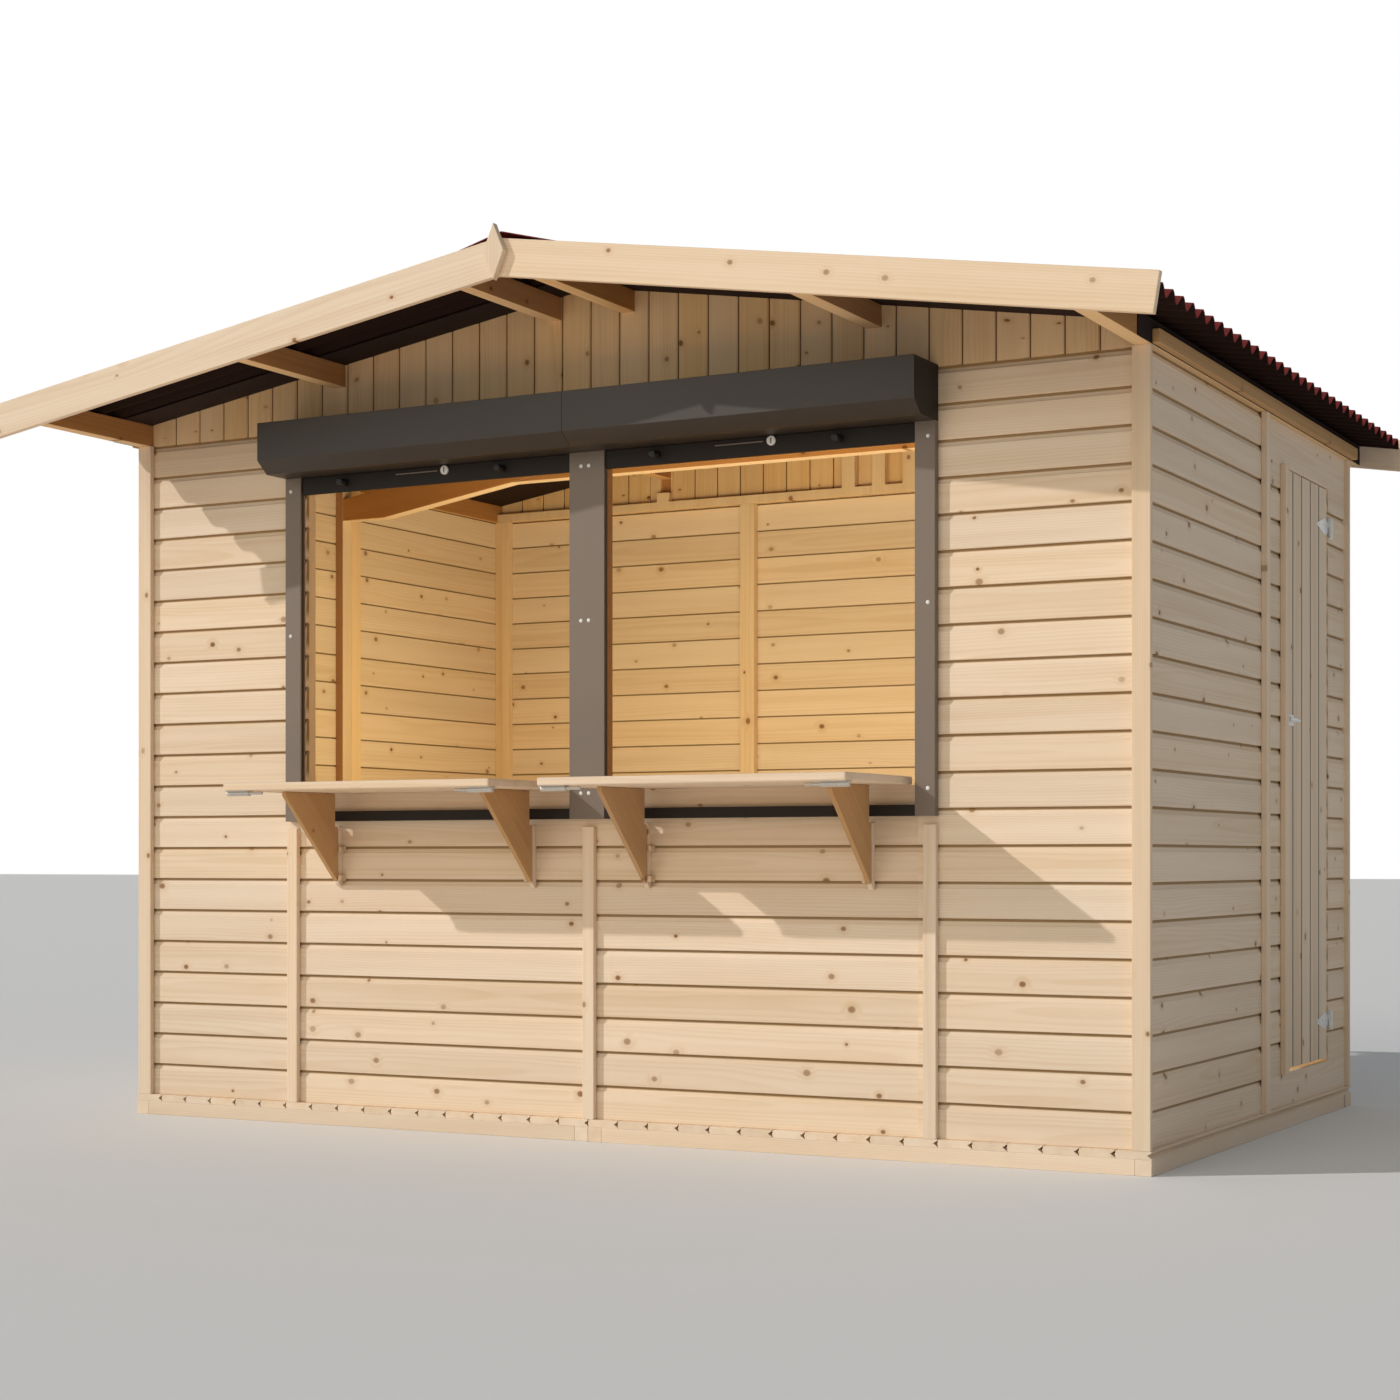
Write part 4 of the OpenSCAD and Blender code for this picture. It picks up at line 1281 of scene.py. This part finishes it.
@dataclass
class ScrewSet:
    """Domed screw heads at places on one body."""

    name: str
    radius: float
    finish: Finish
    places: Sequence[Vector]
    aim: Vector
    body: str = "stall"
    rise: float = 0.4

    def build(self) -> Piece:
        """Make the screws.

        Returns:
            The piece.
        """
        mesh = bpy.data.meshes.new(self.name)
        mesh.from_pydata([tuple(place) for place in self.places], [], [])
        aims = mesh.attributes.new("aim", "FLOAT_VECTOR", "POINT")
        for entry in aims.data:
            entry.vector = self.aim
        base = bpy.data.objects.new(self.name, mesh)
        bpy.context.scene.collection.objects.link(base)
        made = grown(
            base,
            bpy.data.node_groups.get("screw heads") or screw_tree(),
            {"Radius": self.radius, "Rise": self.rise, "Finish": self.finish.material()},
        )
        made.data.shade_smooth()
        return settle(made, [], self.body)


@dataclass
class Shutters:
    """The two roller shutter units, rolled up."""

    screw_radius: float = 0.0052
    screw_levels: Triple = (1.738, 1.340, 0.896)
    mullion_screws: Tuple[float, float] = (-0.017, 0.006)
    outer_inset: float = 0.018
    key_slot: Triple = (0.0026, 0.0008, 0.014)
    grip: Triple = (0.135, 0.003, 0.003)
    grip_gap: float = 0.012

    def build(self) -> None:
        """Dress the boxes, rails, bars, stops, locks and screws."""
        # Painted shade: the boxes' right-hand end faces, the sill rails and the bars take the darker anthracite; the
        # rails take the lighter one as painted sheen.
        shaded_ends = FaceTone(Finish.SHADED_ANTHRACITE, (1.0, 0.0, 0.0))
        fitting("shutter_boxes", Finish.ANTHRACITE, edge=0.0009, tone=shaded_ends)
        fitting("shutter_rails", Finish.LIT_ANTHRACITE, edge=0.0007)
        fitting("shutter_sill_rails", Finish.SHADED_ANTHRACITE, edge=0.0016)
        fitting("shutter_bars", Finish.SHADED_ANTHRACITE, edge=0.003)
        fitting("shutter_stops", Finish.PLASTIC, edge=0.002, smooth=True)
        fitting("shutter_locks", Finish.SCREW, edge=0.001, smooth=True)
        self.screws()
        self.lock_details()

    def screws(self) -> None:
        """Set the screw heads on the rails."""
        low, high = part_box("shutter_rails")
        spots = [*self.mullion_screws, low[0] + self.outer_inset, high[0] - self.outer_inset]
        places = [Vector((x, low[1], z)) for z in self.screw_levels for x in spots]
        ScrewSet("rail_screws", self.screw_radius, Finish.SCREW, places, -BACKWARD).build()

    def lock_details(self) -> None:
        """Set a thin black block in each lock face as the painted shade of its key slot, and a slim raised rib on the
        bar beside it in the lighter anthracite with painted sheen.
        """
        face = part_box("shutter_bars")[0][1]
        slots, ribs = bmesh.new(), bmesh.new()
        for low, high in solid_boxes("shutter_locks"):
            centre = (low + high) / 2.0
            add_block(slots, Vector((centre.x, low.y, centre.z)), Vector(self.key_slot))
            beside = low.x - self.grip_gap - self.grip[0] / 2.0
            add_block(ribs, Vector((beside, face, centre.z)), Vector(self.grip))
        settle(as_object("lock_key_slots", slots, Finish.PLASTIC), [])
        settle(as_object("bar_grips", ribs, Finish.LIT_ANTHRACITE), [])


@dataclass
class Counters:
    """The two counters with their bolts, hinges and brackets."""

    edge: float = 0.004
    bracket_edge: float = 0.0015
    metal_edge: float = 0.0008

    def build(self) -> None:
        """Dress the counters, brackets and their fittings."""
        for seed, side in enumerate(("left", "right")):
            body = "counter_" + side
            timber(body, Finish.CLADDING, 161 + seed, body, edge=self.edge)
            fitting(body + "_bolts", Finish.ZINC, body, edge=self.metal_edge, smooth=True)
            for offset, place in enumerate(("outer", "inner"), start=63 + 2 * seed):
                bracket = f"bracket_{side}_{place}"
                # Painted shade under the counters: the brackets take the darker, browner spruce.
                timber(bracket, Finish.SHADED_SPRUCE, offset, bracket, edge=self.bracket_edge)
        timber("bracket_cleats", Finish.CLADDING, 67, edge=self.bracket_edge)
        fitting("counter_hinges", Finish.ZINC, edge=self.metal_edge, smooth=True)
        fitting("bracket_hinges", Finish.GILT, edge=self.metal_edge, smooth=True)


@dataclass
class Door:
    """The ledged door with its strap hinges and sliding bolt."""

    boards: int = 5
    bead: float = 0.0042
    slot: float = 0.005
    shade_share: float = 0.6
    screw_radius: float = 0.0034
    screw_shares: Triple = (0.2, 0.45, 0.7)
    leaf: float = 0.002

    def build(self) -> None:
        """Board the leaf and dress its ledges and fittings."""
        low, high = (Vector(corner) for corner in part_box("door_leaf"))
        width = (high.y - low.y) / self.boards
        outline = Gables(bead=self.bead, slot=self.slot).outline(width, high.x - low.x)
        shape = bmesh.new()
        # Painted shade over each board's beads and slot, from the face inward, in the door finish's dark groove colour.
        Plank(
            Vector((high.x, low.y, low.z)), UPWARD, BACKWARD, -RIGHTWARD, high.z - low.z,
            [(min(across, width), deep) for across, deep in outline],
            shade_from=0.0, shade_span=self.bead * self.shade_share,
        ).add_to(shape)
        row = BoardRow("door_leaf_boards", Finish.DOOR, 71, self.boards, (0.0, width, 0.0), low.z, high.z)
        settle(row.build(shape), ["door_leaf"], "door")
        timber("door_ledges", Finish.INSIDE, 72, "door")
        fitting("door_hinge_straps", Finish.SCREW, "door", edge=0.0006)
        fitting("door_bolt", Finish.SCREW, "door", edge=0.0008, smooth=True)
        fitting("door_hinge_plates", Finish.SCREW, edge=0.0006)
        self.screws(high.x + self.leaf)

    def screws(self, face: float) -> None:
        """Set a row of screw heads along each strap of the hinges.

        Args:
            face: Level of the straps' outer face along X.
        """
        places = [
            Vector((face, low.y + share * (high.y - low.y), (low.z + high.z) / 2.0))
            for low, high in solid_boxes("door_hinge_straps") for share in self.screw_shares
        ]
        ScrewSet("strap_screws", self.screw_radius, Finish.ZINC, places, RIGHTWARD, "door").build()


class LampKind(Enum):
    """The kinds of lamp in the studio."""

    SUN = "SUN"
    PANEL = "AREA"
    BULB = "POINT"


@dataclass(frozen=True)
class Lamp:
    """One lamp of the studio, unseen by the camera."""

    name: str
    kind: LampKind
    power: float
    tint: Triple
    place: Triple = (0.0, 0.0, 0.0)
    way: Triple = (0.0, 0.0, -1.0)
    size: Tuple[float, float] = (0.0, 0.0)
    softness: float = 0.0
    mirrored: bool = False

    def hang(self) -> None:
        """Put the lamp into the studio."""
        lamp = bpy.data.lights.new(self.name, self.kind.value)
        lamp.energy, lamp.color = self.power, self.tint
        if self.kind is LampKind.SUN:
            lamp.angle = self.softness
        elif self.kind is LampKind.PANEL:
            lamp.shape = "RECTANGLE"
            lamp.size, lamp.size_y = self.size
        else:
            lamp.shadow_soft_size = self.softness
        holder = bpy.data.objects.new(self.name, lamp)
        holder.location = self.place
        holder.rotation_euler = Vector(self.way).to_track_quat("-Z", "Y").to_euler()
        holder.visible_camera = False
        holder.visible_glossy = self.mirrored
        bpy.context.scene.collection.objects.link(holder)


@dataclass
class Studio:
    """Camera, lights and pale floor."""

    camera_place: Triple = (3.2687, -6.3961, 0.7235)
    camera_turn: float = math.radians(28.326)
    lens: float = 63.5113
    sensor: float = 36.0
    shift_up: float = 0.1145
    sight: float = 200.0
    lamps: Tuple[Lamp, ...] = (
        Lamp("key sun", LampKind.SUN, 1.86, (1.0, 0.965, 0.95), way=(0.696, 0.510, -0.510),
             softness=math.radians(0.7), mirrored=True),
        Lamp("soft fill", LampKind.SUN, 0.62, (1.0, 0.945, 0.75), way=(0.20, 0.90, -0.36),
             softness=math.radians(42.0)),
        Lamp("low glow", LampKind.PANEL, 31.0, (1.0, 0.66, 0.3), (0.0, -3.3, 0.02), (0.0, 0.0, 1.0), (5.0, 1.4)),
        Lamp("side glow", LampKind.PANEL, 4.6, (1.0, 1.0, 1.0), (2.6, 0.2, 0.02), (0.0, 0.0, 1.0), (0.8, 3.6)),
        Lamp("inside glow", LampKind.PANEL, 17.0, (1.0, 0.86, 0.54), (0.45, -0.8, 1.2), (0.0, 1.0, 0.15), (1.9, 0.5)),
        Lamp("corner glow", LampKind.BULB, 7.0, (1.0, 0.84, 0.42), (-0.75, -0.1, 1.15), softness=0.3),
    )
    sky_strength: float = 0.24
    sky_tint: Triple = (0.95, 1.0, 1.05)
    floor_size: float = 180.0
    floor_level: float = 0.78
    floor_roughness: float = 0.9

    def build(self) -> None:
        """Set the camera, the lights and the floor."""
        self.camera()
        for lamp in self.lamps:
            lamp.hang()
        self.surround()
        self.floor()

    def camera(self) -> None:
        """Set the camera at the photograph's angle."""
        lens = bpy.data.cameras.new("photo camera")
        lens.lens = self.lens
        lens.sensor_width = self.sensor
        lens.shift_y = self.shift_up
        lens.clip_end = self.sight
        made = bpy.data.objects.new("photo camera", lens)
        made.location = self.camera_place
        made.rotation_euler = (math.pi / 2.0, 0.0, self.camera_turn)
        bpy.context.scene.collection.objects.link(made)
        bpy.context.scene.camera = made

    def surround(self) -> None:
        """Set the even pale surround, white where it is seen."""
        world = bpy.data.worlds.new("pale surround")
        world.use_nodes = True
        world.node_tree.nodes.clear()
        graph = Graph(world.node_tree)
        path = graph.add("ShaderNodeLightPath").outputs
        seen = graph.math("MAXIMUM", path["Is Camera Ray"], path["Is Transmission Ray"])
        seen = graph.math("MAXIMUM", seen, path["Is Glossy Ray"])
        fill = tuple(level * self.sky_strength for level in self.sky_tint) + (1.0,)
        sky = graph.first("ShaderNodeBackground", {"Color": graph.mix(seen, fill, (1.0, 1.0, 1.0, 1.0))})
        graph.add("ShaderNodeOutputWorld", {"Surface": sky})
        bpy.context.scene.world = world
        bpy.context.scene.view_settings.view_transform = "Standard"

    def floor(self) -> None:
        """Lay the pale floor."""
        shape = bmesh.new()
        bmesh.ops.create_grid(shape, x_segments=1, y_segments=1, size=self.floor_size / 2.0)
        mesh = bpy.data.meshes.new("pale floor")
        shape.to_mesh(mesh)
        shape.free()
        made = bpy.data.materials.new("pale floor")
        made.use_nodes = True
        surface = made.node_tree.nodes["Principled BSDF"]
        surface.inputs["Base Color"].default_value = (self.floor_level,) * 3 + (1.0,)
        surface.inputs["Roughness"].default_value = self.floor_roughness
        mesh.materials.append(made)
        plane = bpy.data.objects.new("pale floor", mesh)
        bpy.context.scene.collection.objects.link(plane)


def main() -> None:
    """Build the stall's sub-assemblies in order, then the studio."""
    logging.basicConfig(level=logging.INFO, format="%(name)s %(message)s")
    for assembly in (Floor(), Walls(), Gables(), Roof(), Shutters(), Counters(), Door(), Studio()):
        LOG.info("building %s", type(assembly).__name__)
        assembly.build()


if __name__ == "__main__":
    main()
